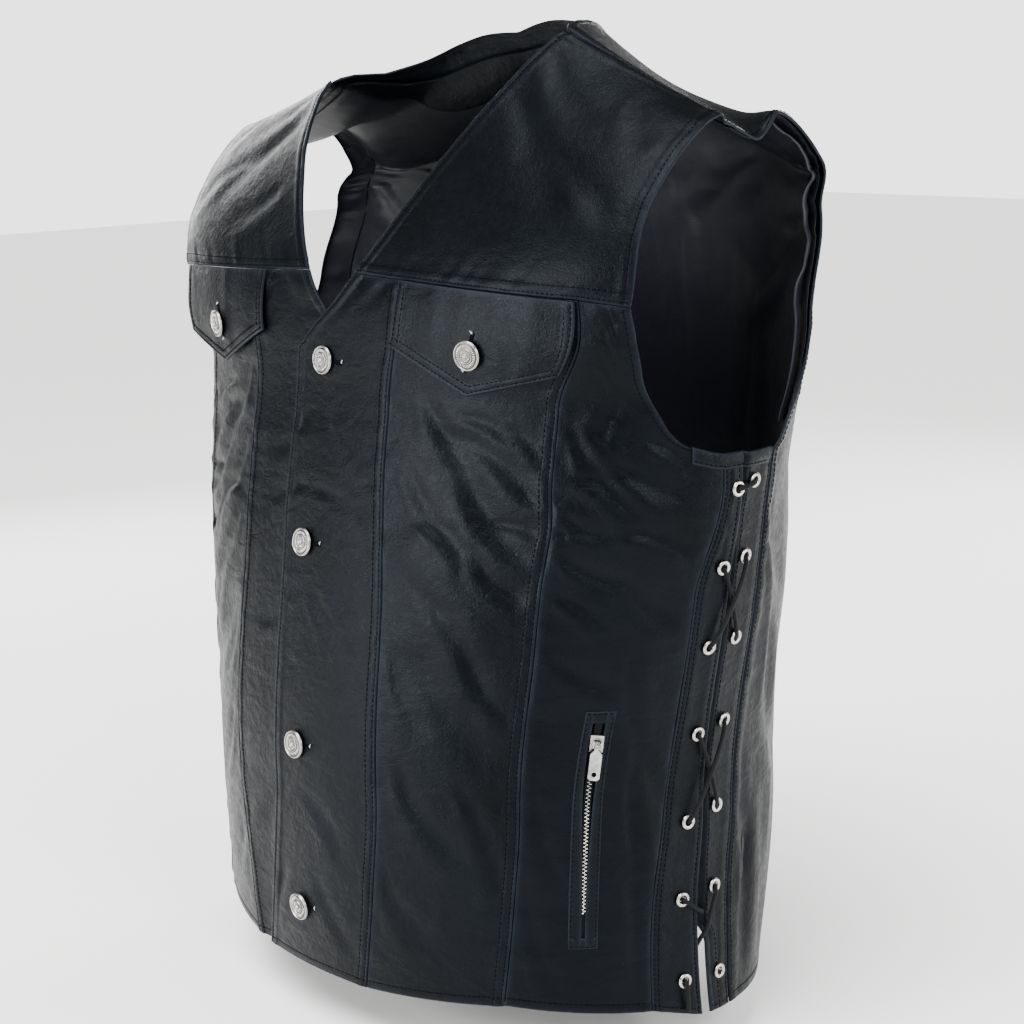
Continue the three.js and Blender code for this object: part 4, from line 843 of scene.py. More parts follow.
FRONT_ROWS = np.unique(np.concatenate([rows_between(0, YOKE_ROW, 1 / 140, 1 / 105),
                                       [PLACKET_TOP[0][0]]]))
STRIP_ROWS = rows_between(0, STRIP_TOP, 1 / 140, 1 / 75)
panels = {}
for side, sign in SIDES.items():
    seed = 11 if side == "left" else 411
    free_edge = placket_edge_line(FRONT_ROWS)
    placket_seam = seam_line(FRONT_ROWS, "placket")
    princess_seam = seam_line(FRONT_ROWS, "princess")
    outer_edge = side_edge_line(FRONT_ROWS)
    if side == "right":
        above = ease((FRONT_ROWS - 3.9) / 0.35)
        placket_seam = (mix(right_seam_angle(FRONT_ROWS), placket_seam[0], above),
                        placket_seam[1])
    parts = {
        "placket": (free_edge, placket_seam, 78, "left"),
        "front_centre": (placket_seam, princess_seam, 100, "left"),
        "front_side": (princess_seam, outer_edge, 105, "left"),
    }
    for offset, (part, (near, far, width, _)) in enumerate(parts.items()):
        grid = ruled(near, far, width)
        angle, level = grid
        edges = edge_distances(angle, level)
        along = edges["bottom"]
        start = seed + 40 * offset
        height = crease_height(sign * angle, level, FRONT_CREASES) * seam_ends(edges)
        if part == "placket":
            height += lap_height(edges["left"], along, start, puckers=0.25, rows=(3.0,))
            height += lap_height(edges["right"], along, start + 3, puckers=0.45)
            if side == "right":
                height += underlap(-angle, level)
        elif part == "front_centre":
            height += lap_height(edges["left"], along, start, False, 0.35, rows=())
            height += lap_height(edges["right"], along, start + 3, True, 0.9)
        else:
            height += lap_height(edges["left"], along, start, False, 0.9, rows=())
            height += lap_height(edges["right"], along, start + 3, False, 0.5, rows=())
        height += lap_height(edges["top"], edges["left"], start + 9, False, 0.7, rows=())
        height += rounded_edge(edges["bottom"]) - 0.35 * np.exp(
            -((edges["bottom"] - 6.0) / 0.8) ** 2)
        name = f"{part}_{side}"
        panel = shell(f"{name}_hide", mirror(side, grid), flip(side, height), HIDE, cowhide, satin)
        panels[name] = panel

# ---------------------------------------------------------------- yokes
# Each front has a smooth yoke over the chest, lapped on the panels under it with two rows.
for side, sign in SIDES.items():
    feet = ruled((np.array([YOKE_STOPS[0]]), np.array([YOKE_LEVELS[0]])),
                 (np.array([YOKE_STOPS[3]]), np.array([YOKE_LEVELS[3]])), 215)[0][0]
    share = (feet - YOKE_STOPS[0]) / (YOKE_STOPS[3] - YOKE_STOPS[0])
    rows = rows_between(0, 1, 1 / 190, 1 / 190)[:, None]
    level = mix(yoke_level(feet)[None] + SEAM_GAP / 100, FRONT_TOP - SEAM_GAP / 60, rows)
    neck = smooth(*NECKLINE, np.maximum(level, NECKLINE[0][0]))
    arm = smooth(*YOKE_ARMHOLE, np.maximum(level, YOKE_ARMHOLE[0][0]))
    angle = mix(neck, arm, share[None])
    angle = angle + (feet - angle[0])[None] * np.exp(-rows * 14)
    edges = edge_distances(angle, level)
    height = crease_height(sign * angle, level, YOKE_CREASES) * seam_ends(edges)
    height += lap_height(edges["bottom"], edges["left"], 900 + sign, True, 0.55)
    height += lap_height(edges["left"], edges["bottom"], 930 + sign, True, 0.2, rows=(4.0,))
    height += lap_height(edges["right"], edges["bottom"], 960 + sign, True, 0.35, rows=(5.0,))
    height += lap_height(edges["top"], edges["left"], 990 + sign, True, 0.2, rows=(3.0,))
    panels[f"front_yoke_{side}"] = shell(
        f"front_yoke_{side}_hide", mirror(side, (angle, level)), flip(side, height), HIDE,
        yoke_hide, satin)

# ---------------------------------------------------------------- back
# One wide panel of the same hide. It lies in long soft folds towards the hem, and its
# armhole edges are gathered a little on their stitched facing.
def back_half_width(level, share):
    seam = smooth(BACK_SEAMS["level"], BACK_SEAMS["back_seam"], np.minimum(level, STRIP_TOP))
    low = body_point(seam, level)[..., 0]
    high = np.where(share < 0, smooth(*BACK_ARMHOLES["right"], level),
                    smooth(*BACK_ARMHOLES["left"], level))
    return np.where(level <= STRIP_TOP, low, high)


def back_angle(x, level):
    half = smooth(BACK["level"], BACK["half"], level)
    share = np.minimum(np.abs(x) / half, 0.9995)
    return 180 - np.sign(x) * np.degrees(np.arcsin(share))


def back_grid(rows, shares):
    """Places over the back: columns are shares of its half width, rows run up to the neck."""
    bend = 4.5
    rows, shares = np.meshgrid(rows, shares, indexing="ij")
    start = back_half_width(np.zeros(1), np.ones(1))[0]
    hem = hem_level(back_angle(shares * start, np.zeros_like(shares)))
    low = mix(hem, bend, rows / bend)
    neck = smooth(*BACK_NECK, np.abs(shares)) - SEAM_GAP / 60
    high = mix(bend, neck, (rows - bend) / (BACK_TOP - bend))
    level = np.where(rows > bend, high, low)
    x = shares * (back_half_width(level, shares) - SEAM_GAP * np.abs(shares))
    return back_angle(x, level), level


back_shares = 1 - 2 * spaced(590, EDGE_STEPS, 4.6)
back_rows = rows_between(0, BACK_TOP, 1 / 140, 1 / 60, apart=4.4)
angle, level = back_grid(back_rows, back_shares)
edges = edge_distances(angle, level)
height = crease_height(angle, level, BACK_CREASES) * seam_ends(edges)
height += rounded_edge(edges["bottom"]) - 0.35 * np.exp(-((edges["bottom"] - 6.0) / 0.8) ** 2)
for edge, start in (("left", 1200), ("right", 1300)):
    height += lap_height(edges[edge], edges["bottom"], start, True, 0.7)
height += lap_height(edges["top"], edges["left"], 1400, True, 0.3, rows=(4.0,))
panels["back_panel"] = shell("back_hide", (angle, level), height, HIDE, cowhide)

# ---------------------------------------------------------------- lacing strips
# A doubled strip is set on each side seam. Its lapped and stitched edges pucker a little.
from_tables = {
    "front": ((FRONT_SEAMS, "lacing"), (FRONT_SEAMS, "front_edge")),
    "back": ((BACK_SEAMS, "back_edge"), (BACK_SEAMS, "back_seam")),
}
HOLE = 7.0
for side, sign in SIDES.items():
    for part, (near, far) in from_tables.items():
        inner, outer = strip_line(STRIP_ROWS, *near), strip_line(STRIP_ROWS, *far)
        tucked = 2.3 * ease((STRIP_ROWS - 0.36) / 0.12) if part == "back" else 0
        grid = ruled((inner[0] - tucked, inner[1]), outer, 26, 2.2, EDGE_STEPS[:11])
        edges = edge_distances(*grid)
        free, sewn = ("right", "left") if part == "front" else ("left", "right")
        seed = {"front": 1500, "back": 1600}[part] + sign
        height = lap_height(edges[free], edges["bottom"], seed, True, 0.35, rows=(3.2,))
        height += lap_height(edges[sewn], edges["bottom"], seed + 20, True, 0.3, rows=(2.2,))
        height += rounded_edge(edges["bottom"]) + rounded_edge(edges["top"])
        height -= 0.5
        if part == "back":
            height -= 3.0 * ease((7.5 - edges["left"]) / 6) * ease((STRIP_ROWS[:, None] - 0.36) / 0.12)
        panel = shell(f"lace_strip_{part}_{side}_hide", mirror(side, grid), flip(side, height),
                      HIDE, strap_hide)
        panels[f"lace_strip_{part}_{side}"] = panel

# ---------------------------------------------------------------- pocket flaps
# Pointed flaps hang from the yoke seam over each chest pocket, cut double, turned and
# stitched round, and held down by a button.
FLAP_THICKNESS = 1.8
FLAP_STAND = {"root": 0.9, "edge": 0.5, "left": 4.5, "right": 9.5}


def flap_lift(angle, level):
    """How far the flap stands off the panel: most at its outer corner."""
    down = np.clip((4.22 - level) / 0.6, 0, 1)
    out = np.clip((np.abs(angle) - 16) / 30, 0, 1)
    stand = np.where(angle < 0, FLAP_STAND["right"], FLAP_STAND["left"])
    return FLAP_STAND["root"] + down * (FLAP_STAND["edge"] + stand * out * out)


for side, sign in SIDES.items():
    shares = spaced(122, EDGE_STEPS[:11], 2.6)
    shares = np.unique(np.concatenate([shares, [0.5]]))[None]
    rows = np.unique(1 - rows_between(0, 1, 1 / 52, 1 / 52, 2.4, EDGE_STEPS[:11]))[:, None]
    top_angle = mix(15.4, 48.6, shares)
    top_level = yoke_level(top_angle) - 0.006
    foot_angle = mix(14.6, 46.0, shares)
    foot_level = np.interp(shares, (0, 0.5, 1), (3.87, 3.56, 3.76))
    angle = mix(foot_angle, top_angle, rows)
    level = mix(foot_level, top_level, rows)
    edges = edge_distances(angle, level)
    rim = np.minimum.reduce([edges["left"], edges["right"], edges["bottom"]])
    height = rounded_edge(rim) + 0.4 * ease((8.5 - rim) / 2.5)
    for row in (2.4, 7.2):
        height -= 0.35 * np.exp(-((rim - row) / 0.7) ** 2)
    height += 0.8 * (ripple(edges["left"], 2000 + sign, 11) - 0.5) * ease(rim / 5)
    height += flap_lift(sign * angle, level) + FLAP_THICKNESS
    panels[f"pocket_flap_{side}"] = shell(
        f"pocket_flap_{side}_hide", mirror(side, (angle, level)), flip(side, height),
        FLAP_THICKNESS, strap_hide)

# ---------------------------------------------------------------- back lining and label
# Inside the back hangs black satin, sewn to the hide's facings, under a neck facing of
# hide. A woven label is sewn below the neck; it is left bare.
LINING = 1.0
LINING_FOLDS = [
    (100, 3.60, 112, 3.50, 5, 2.0, 3, 0), (100, 4.00, 116, 3.85, 6, 2.4, -4, 0),
    (104, 4.40, 120, 4.30, 5, 2.2, 3, 0), (104, 4.75, 124, 4.85, 6, 2.6, -4, 0),
    (106, 5.20, 126, 5.40, 6, 2.4, 4, 0), (108, 5.75, 128, 6.00, 6, 2.2, -3, 0),
    (112, 6.30, 130, 6.45, 5, 1.8, 3, 0), (120, 5.60, 150, 3.90, 11, 2.4, 10, 0),
    (132, 5.80, 160, 4.60, 12, 2.2, -8, 0), (146, 4.60, 152, 2.60, 14, 2.4, 8, 0),
    (162, 5.20, 166, 3.00, 13, 2.2, -6, 0), (124, 4.20, 130, 2.20, 12, 2.4, 8, 0),
    (176, 4.80, 172, 2.20, 14, 2.0, 6, 0), (112, 3.20, 114, 1.00, 12, 2.2, 5, 0),
]
inner_rows = back_rows[(back_rows >= 0.3) & (back_rows <= 7.8)]
inner_shares = back_shares[np.abs(back_shares) <= 0.985]
lining_grid = back_grid(inner_rows, inner_shares)
edges = edge_distances(*lining_grid)
height = -crease_height(*lining_grid, LINING_FOLDS)
gather = ripple(edges["bottom"], 2101, 9) - 0.5
for edge in ("left", "right"):
    height += 3.0 * gather * np.exp(-edges[edge] / 16) * ease(edges[edge] / 4)
room = np.minimum(height, 0) - 0.6 * ease((np.maximum(height, 0)) / 2)
# The satin hangs from the hide, so it goes with the hide's own folds.
follow = crease_height(*lining_grid, BACK_CREASES) * seam_ends(edges)
lining = shell("lining_satin", lining_grid, np.minimum(follow, 0.4) + room - HIDE - 0.7,
               LINING * 0.6, satin)
panels["lining"] = lining

facing_outer = -2.0 - 0.3 - LINING - 0.3
facing_rows = rows_between(7.25, 7.8, 1 / 60, 1 / 60, 4.0, EDGE_STEPS[:7])
facing_grid = back_grid(facing_rows, back_shares[np.abs(back_shares) < 0.54])
edges = edge_distances(*facing_grid)
height = lap_height(edges["bottom"], edges["left"], 2200, True, 0.3, rows=(2.2,))
panels["neck_facing"] = shell("neck_facing_hide", facing_grid, facing_outer + height * 0.2, 1.4,
                              yoke_hide)

LABEL = {"angle": 208, "half": 6, "top": 6.05, "bottom": 5.3}
# Damask label: black polyester ribbon, finely ribbed, with nothing on it.
damask, tree = new_material("damask_ribbon")
where = add_node(tree, "ShaderNodeTexCoord")
rib = add_node(tree, "ShaderNodeTexWave", {"Scale": 300}, {"Vector": (where, "Object")},
               bands_direction="Z")
bump = add_node(tree, "ShaderNodeBump", {"Strength": 0.4, "Distance": 0.0003},
                {"Height": (rib, "Fac")})
finish_material(tree, add_node(tree, "ShaderNodeBsdfPrincipled", {
    "Base Color": linear("#08080a"), "Roughness": 0.6, "Specular IOR Level": 0.15,
}, {"Normal": (bump, "Normal")}))
label_rows = np.linspace(0, 1, 24)[:, None]
label_angle = LABEL["angle"] + LABEL["half"] * np.linspace(-1, 1, 24)[None]
label_grid = (np.broadcast_to(label_angle, (24, 24)),
              np.broadcast_to(mix(LABEL["bottom"], LABEL["top"], label_rows), (24, 24)))
edges = edge_distances(*label_grid)
rim = np.minimum.reduce(list(edges.values()))
panels["label"] = shell("label_ribbon", label_grid,
                        facing_outer - 2.2 + 0.0 * rim, 0.8, damask)

for name, panel in panels.items():
    dress(panel, name)

# ---------------------------------------------------------------- holes for the fittings
# The strips are punched for their eyelets, and the side panels are slit for the zips.
ZIP = {"top_angle": 62.0, "top_level": 1.43, "end_angle": 59.4, "end_level": 0.40}
ZIP_SLOT = 11


def seat(angle, level, height):
    """The turn and place of a fitting: its Z points off the leather and its Y up along it."""
    normal, upward = (Vector(v) for v in body_frame(np.float64(angle), np.float64(level)))
    across = upward.cross(normal).normalized()
    along = normal.cross(across)
    matrix = Matrix((across, along, normal)).transposed().to_4x4()
    matrix.translation = Vector(place(angle, level, height))
    return matrix


def take_up(objects, name):
    """Joins objects into one, named piece with its place in its mesh."""
    bpy.ops.object.select_all(action="DESELECT")
    for item in objects:
        item.select_set(True)
    bpy.context.view_layer.objects.active = objects[0]
    bpy.ops.object.join()
    piece = bpy.context.object
    piece.name = name
    bpy.ops.object.transform_apply(location=True, rotation=True, scale=True)
    return piece


def punch(piece, cutter):
    """Cuts one piece by another, which is then thrown away."""
    bpy.ops.object.select_all(action="DESELECT")
    bpy.context.view_layer.objects.active = piece
    piece.select_set(True)
    cut = piece.modifiers.new("cut", "BOOLEAN")
    cut.operation = "DIFFERENCE"
    cut.solver = "EXACT"
    cut.object = cutter
    bpy.ops.object.modifier_apply(modifier="cut")
    bpy.data.objects.remove(cutter)
    piece.data.set_sharp_from_angle(angle=math.radians(55))


def zip_places(along, across):
    """Places beside the zip: shares of its length by distances in mm from its middle."""
    if np.ndim(across) < 2:
        along, across = np.meshgrid(along, across, indexing="ij")
    angle = mix(ZIP["end_angle"], ZIP["top_angle"], along)
    level = mix(ZIP["end_level"], ZIP["top_level"], along)
    span = body_point(angle + 0.5, level) - body_point(angle - 0.5, level)
    return angle + across / np.linalg.norm(span, axis=-1), level


for side, sign in SIDES.items():
    for part, (a, b) in {"front": (0, 1), "back": (2, 3)}.items():
        drills = []
        for pair in EYELETS:
            bpy.ops.object.select_all(action="DESELECT")
            bpy.ops.mesh.primitive_cylinder_add(vertices=24, radius=HOLE / 2 * MM, depth=0.014)
            drill = bpy.context.object
            drill.matrix_world = seat(sign * pair[a], pair[b], 0)
            drills.append(drill)
        punch(panels[f"lace_strip_{part}_{side}"]["piece"], take_up(drills, "drill"))
    grid = mirror(side, zip_places(np.linspace(-0.02, 1.02, 12),
                                   [-ZIP_SLOT / 2, ZIP_SLOT / 2]))
    slit = shell("slit", grid, 8.0, 16.0, cowhide)
    punch(panels[f"front_side_{side}"]["piece"], slit["piece"])

# ---------------------------------------------------------------- zips
# Each side pocket closes with a metal zip between two narrow welts of hide. Its woven tape
# lies behind the slit, with nickel teeth from the slider down and a bar at the end.
TAPE_OUTER = -3.3
CHAIN_TOP = 1.30 / 1.43
TOOTH_APART = 1.5
# Zip tape: matt black polyester ribbon, its ribs 0.8 mm apart along the chain.
ribbon, tree = new_material("polyester_zip_ribbon")
where = add_node(tree, "ShaderNodeTexCoord")
rib = add_node(tree, "ShaderNodeTexWave", {"Scale": 390}, {"Vector": (where, "Object")},
               bands_direction="Z")
bump = add_node(tree, "ShaderNodeBump", {"Strength": 0.5, "Distance": 0.0003},
                {"Height": (rib, "Fac")})
finish_material(tree, add_node(tree, "ShaderNodeBsdfPrincipled", {
    "Base Color": linear("#08090b"), "Roughness": 0.8, "Specular IOR Level": 0.15,
}, {"Normal": (bump, "Normal")}))


def metal_material(name, bright, dull, rough, patina=None):
    """Plated metal, smeared by handling; patina is the colour left in its hollows."""
    material, tree = new_material(name)
    where = add_node(tree, "ShaderNodeTexCoord")
    smear = add_node(tree, "ShaderNodeTexNoise", {"Scale": 260, "Detail": 4},
                     {"Vector": (where, "Object")})
    tint = add_node(tree, "ShaderNodeValToRGB", links={"Fac": (smear, "Fac")})
    tint.color_ramp.elements[0].position = 0.3
    tint.color_ramp.elements[0].color = linear(dull)
    tint.color_ramp.elements[1].position = 0.65
    tint.color_ramp.elements[1].color = linear(bright)
    colour = (tint, "Color")
    if patina:
        relief = add_node(tree, "ShaderNodeAttribute", attribute_name="relief")
        step = add_node(tree, "ShaderNodeMapRange", {"From Min": 0.1, "From Max": 0.7},
                        {"Value": (relief, "Fac")})
        mixed = add_node(tree, "ShaderNodeMix", {6: linear(patina)},
                         {0: (step, "Result"), 7: colour}, data_type="RGBA")
        colour = (mixed, 2)
    gloss = add_node(tree, "ShaderNodeMapRange", {
        "To Min": rough - 0.06, "To Max": rough + 0.12,
    }, {"Value": (smear, "Fac")})
    finish_material(tree, add_node(tree, "ShaderNodeBsdfPrincipled", {"Metallic": 1.0}, {
        "Base Color": colour, "Roughness": (gloss, "Result"),
    }))
    return material


nickel = metal_material("polished_nickel_plate", "#a9a9a6", "#7d7d7a", 0.24)

for side, sign in SIDES.items():
    offsets = np.array([-12, -11.4, -9, -6, -3.4, -2.7, -2.4, 0, 2.4, 2.7, 3.4, 6, 9, 11.4, 12])
    angle, level = zip_places(np.linspace(0, 1, 60), offsets)
    middle_rise = 2.2 * ease((3.0 - np.abs(offsets)) / 0.5)[None]
    tape = shell(f"zip_ribbon_{side}", mirror(side, (angle, level)),
                 TAPE_OUTER + middle_rise + 0 * angle, 1.0, ribbon)
    dress(tape, f"zip_tape_{side}")

    # Welts: the two lips, and a short bar across each end.
    lips = {
        "fore": (-9.6, -1.0, -0.035, 1.035), "aft": (1.0, 9.6, -0.035, 1.035),
        "top": (-9.6, 9.6, 0.985, 1.035), "foot": (-9.6, 9.6, -0.035, 0.015),
    }
    for lip, (near, far, low, high) in lips.items():
        wide = near + (far - near) * spaced(abs(far - near), EDGE_STEPS[:6], 1.4)
        length = (high - low) * 152
        long = low + (high - low) * spaced(length, EDGE_STEPS[:6], 2.4)
        # The lips stand open round the slider and close on the chain below it.
        opening = 2.9 * ease((long - 0.12) / 0.75)[:, None]
        share = (wide - near) / (far - near)
        if lip == "fore":
            wide = wide[None] - opening * share[None]
        elif lip == "aft":
            wide = wide[None] + opening * (1 - share[None])
        angle, level = zip_places(long[:, None] + 0 * wide if wide.ndim == 2 else long, wide)
        edges = edge_distances(angle, level)
        rim = np.minimum.reduce(list(edges.values()))
        seed = 2300 + sign + 10 * len(lip)
        height = 1.15 + rounded_edge(rim, 0.8) + 0.25 * (ripple(edges["bottom"], seed, 8) - 0.5)
        outside = edges["left" if lip == "fore" else "right"]
        if lip in ("fore", "aft"):
            height = height - 0.3 * np.exp(-((outside - 2.0) / 0.6) ** 2)
            height = height + 0.25 * ease((3.4 - np.abs(outside - 6.6)) / 2)
        else:
            height = height + 0.12
        welt = shell(f"zip_welt_{lip}_{side}", mirror(side, (angle, level)),
                     flip(side, height), 1.0, strap_hide)
        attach(welt["piece"], BODY)
        panels[f"zip_welt_{lip}_{side}"] = welt

    # One tooth is a small bevelled block; its copies stand in turn on either side.
    bpy.ops.object.select_all(action="DESELECT")
    bpy.ops.mesh.primitive_cube_add(size=1)
    tooth = bpy.context.object
    tooth.scale = (2.0 * MM, 0.9 * MM, 1.2 * MM)
    bpy.ops.object.transform_apply(scale=True)
    bevel = tooth.modifiers.new("round", "BEVEL")
    bevel.width = 0.25 * MM
    bevel.segments = 1
    bpy.ops.object.modifier_apply(modifier="round")
    tooth_mesh = tooth.data
    bpy.data.objects.remove(tooth)
    teeth = []
    count = int(CHAIN_TOP * 146 / TOOTH_APART)
    for i in range(count):
        share = 0.13 + (CHAIN_TOP - 0.15) * i / count
        along = (ZIP["end_angle"] + share * (ZIP["top_angle"] - ZIP["end_angle"]),
                 ZIP["end_level"] + share * (ZIP["top_level"] - ZIP["end_level"]))
        item = bpy.data.objects.new("tooth", tooth_mesh.copy())
        bpy.context.collection.objects.link(item)
        shift = Matrix.Translation((0.6 * MM * (1 if i % 2 else -1), 0, 0))
        item.matrix_world = seat(sign * along[0], along[1], -0.7) @ shift
        teeth.append(item)
    chain = take_up(teeth, f"zip_teeth_{side}")
    chain.data.materials.clear()
    chain.data.materials.append(nickel)
    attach(chain, BODY)
    for node in (f"zip_slider_{side}", f"zip_pull_{side}"):
        for material_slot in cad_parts[node].material_slots:
            material_slot.material = nickel

# ---------------------------------------------------------------- eyelets
# Two-part nickel eyelets: a rolled flange on the face, and a short barrel set through the
# strip and turned over behind it.
bpy.ops.object.select_all(action="DESELECT")
bpy.ops.mesh.primitive_torus_add(major_segments=32, minor_segments=10,
                                 major_radius=3.75 * MM, minor_radius=1.2 * MM)
flange = bpy.context.object
flange.scale = (1, 1, 0.62)
flange.location = (0, 0, 1.05 * MM)
bpy.ops.mesh.primitive_cylinder_add(vertices=32, radius=2.75 * MM, depth=4.0 * MM,
                                    end_fill_type="NOTHING", location=(0, 0, -0.9 * MM))
barrel = bpy.context.object
wall = barrel.modifiers.new("wall", "SOLIDIFY")
wall.thickness = 0.4 * MM
wall.offset = 1
bpy.ops.object.modifier_apply(modifier="wall")
ring = take_up([flange, barrel], "eyelet_pattern")
bpy.ops.object.shade_smooth_by_angle(angle=math.radians(40))
ring_mesh = ring.data
bpy.data.objects.remove(ring)
eyelet_nickel = metal_material("rolled_nickel_eyelet", "#b9b7b1", "#8f8d87", 0.26)
ring_mesh.materials.clear()
ring_mesh.materials.append(eyelet_nickel)
for side, sign in SIDES.items():
    for i, pair in enumerate(EYELETS):
        for part, (a, b) in {"front": (0, 1), "back": (2, 3)}.items():
            mesh = ring_mesh.copy()
            mesh.transform(seat(sign * pair[a], pair[b], 0))
            eyelet = bpy.data.objects.new(f"eyelet_ring_{part}_{side}_{i + 1}", mesh)
            bpy.context.collection.objects.link(eyelet)
            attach(eyelet, BODY)
            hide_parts(f"eyelet_{part}_{side}_{i + 1}")

# ---------------------------------------------------------------- buttons
# Cast shank buttons with an antique silver finish: a domed face with a rolled rim, rays
# between two rings, and a small boss. Dark patina stays in the hollows.
BUTTON = 9.5
FRONT_BUTTONS = [("button_1", 0.6, 3.71), ("button_2", -0.4, 2.21),
                 ("button_3", 0.8, 1.16), ("button_4", -0.4, 0.33)]
POCKET_BUTTON = (29.5, 3.86)
RAYS = [{"count": 36, "inner": 5.0, "outer": 8.0, "width": 0.36, "rise": 0.42},
        {"count": 18, "inner": 2.0, "outer": 4.1, "width": 0.34, "rise": 0.36}]
RINGS = [{"radius": 8.8, "width": 0.62, "height": 2.55}, {"radius": 4.6, "width": 0.34,
         "height": 3.45}, {"radius": 1.6, "width": 0.34, "height": 3.85}]


def dome(radius):
    """Height in mm of the button's face at a radius."""
    return 3.75 - 1.5 * (radius / BUTTON) ** 2


bpy.ops.object.select_all(action="DESELECT")
bpy.ops.mesh.primitive_cylinder_add(vertices=48, radius=4.6 * MM, depth=1.4 * MM,
                                    location=(0, 0, 0.7 * MM))
shank = bpy.context.object
bpy.ops.mesh.primitive_cylinder_add(vertices=64, radius=BUTTON * MM, depth=1.0 * MM,
                                    location=(0, 0, 1.7 * MM))
disc = bpy.context.object
bpy.ops.object.mode_set(mode="EDIT")
bpy.ops.mesh.select_all(action="DESELECT")
bpy.ops.mesh.select_mode(type="FACE")
bpy.ops.object.mode_set(mode="OBJECT")
for face in disc.data.polygons:
    face.select = face.normal.z > 0.9
bpy.ops.object.mode_set(mode="EDIT")
reach = BUTTON
for radius in (8.2, 6.6, 4.8, 3.0, 1.2):
    bpy.ops.mesh.inset(thickness=(reach - radius) * MM)
    climb = dome(radius) - (2.2 if reach == BUTTON else dome(reach))
    bpy.ops.transform.translate(value=(0, 0, climb * MM))
    reach = radius
bpy.ops.object.mode_set(mode="OBJECT")
soften = disc.modifiers.new("soften", "BEVEL")
soften.width = 0.35 * MM
soften.segments = 2
soften.angle_limit = math.radians(50)
bpy.ops.object.modifier_apply(modifier="soften")
pieces = [shank, disc]
for row in RINGS:
    bpy.ops.mesh.primitive_torus_add(major_segments=56, minor_segments=8,
                                     major_radius=row["radius"] * MM,
                                     minor_radius=row["width"] * MM,
                                     location=(0, 0, row["height"] * MM))
    pieces.append(bpy.context.object)
for row in RAYS:
    reach = (row["inner"] + row["outer"]) / 2
    half = (row["outer"] - row["inner"]) / 2
    fall = math.atan2(dome(row["outer"]) - dome(row["inner"]), 2 * half)
    for i in range(row["count"]):
        turn = 2 * math.pi * i / row["count"]
        bpy.ops.mesh.primitive_ico_sphere_add(subdivisions=1, radius=MM)
        ray = bpy.context.object
        ray.scale = (half, row["width"], row["rise"])
        ray.rotation_euler = (0, -fall, turn)
        ray.location = (reach * MM * math.cos(turn), reach * MM * math.sin(turn),
                        (dome(reach) + 0.1) * MM)
        pieces.append(ray)
bpy.ops.mesh.primitive_uv_sphere_add(segments=20, ring_count=10, radius=1.1 * MM,
                                     location=(0, 0, 3.6 * MM))
pieces.append(bpy.context.object)
button_pattern = take_up(pieces, "button_pattern")
bpy.ops.object.shade_smooth_by_angle(angle=math.radians(45))
button_mesh = button_pattern.data
bpy.data.objects.remove(button_pattern)
relief = button_mesh.attributes.new("relief", "FLOAT", "POINT")
corners = np.array([v.co for v in button_mesh.vertices]) / MM
radius = np.hypot(corners[:, 0], corners[:, 1])
raised = np.clip((corners[:, 2] - dome(radius) + 0.02) / 0.35, 0, 1)
raised = np.where(radius > 8.3, 1.0, raised)
relief.data.foreach_set("value", raised)
antique = metal_material("antique_silver_plate", "#bcbab5", "#94928d", 0.28, "#3c3b39")
button_mesh.materials.clear()
button_mesh.materials.append(antique)
button_seats = [(name, seat(angle, level, 0.3)) for name, angle, level in FRONT_BUTTONS]
for side, sign in SIDES.items():
    angle = sign * POCKET_BUTTON[0]
    lift = float(flap_lift(np.float64(angle), POCKET_BUTTON[1])) + FLAP_THICKNESS + 0.7
    button_seats.append((f"pocket_button_{side}", seat(angle, POCKET_BUTTON[1], lift)))
for name, matrix in button_seats:
    mesh = button_mesh.copy()
    mesh.transform(matrix)
    button = bpy.data.objects.new(f"{name}_cast", mesh)
    bpy.context.collection.objects.link(button)
    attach(button, BODY)
    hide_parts(name)

# ---------------------------------------------------------------- seam allowances
# In a lapped seam the lower panel runs on under the upper one. Its plain allowance is hidden
# behind the seam, and shows only as the dark ground between the two panels.
ALLOWANCE_HALF = 2.4
for side, sign in SIDES.items():
    for key in ("placket", "princess", "lacing", "back_seam"):
        rows = np.linspace(0.02, 4.2 if key[0] == "p" else 3.1, 60)
        if key == "back_seam":
            middle = strip_line(rows, BACK_SEAMS, key)
        elif key == "lacing":
            middle = side_edge_line(np.minimum(rows, 2.9))
        else:
            middle = seam_line(rows, key)
        if key == "placket" and side == "right":
            middle = (mix(right_seam_angle(rows), middle[0], ease((rows - 3.9) / 0.35)), middle[1])
        offsets = np.linspace(-ALLOWANCE_HALF, ALLOWANCE_HALF, 6)[None]
        level = (rows if key == "lacing" else middle[1])[:, None] + 0 * offsets
        angle = middle[0][:, None] + offsets
        allowance = shell(f"seam_allowance_{key}_{side}", mirror(side, (angle, level)), -2.1,
                          0.7, strap_hide)
        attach(allowance["piece"], BODY)

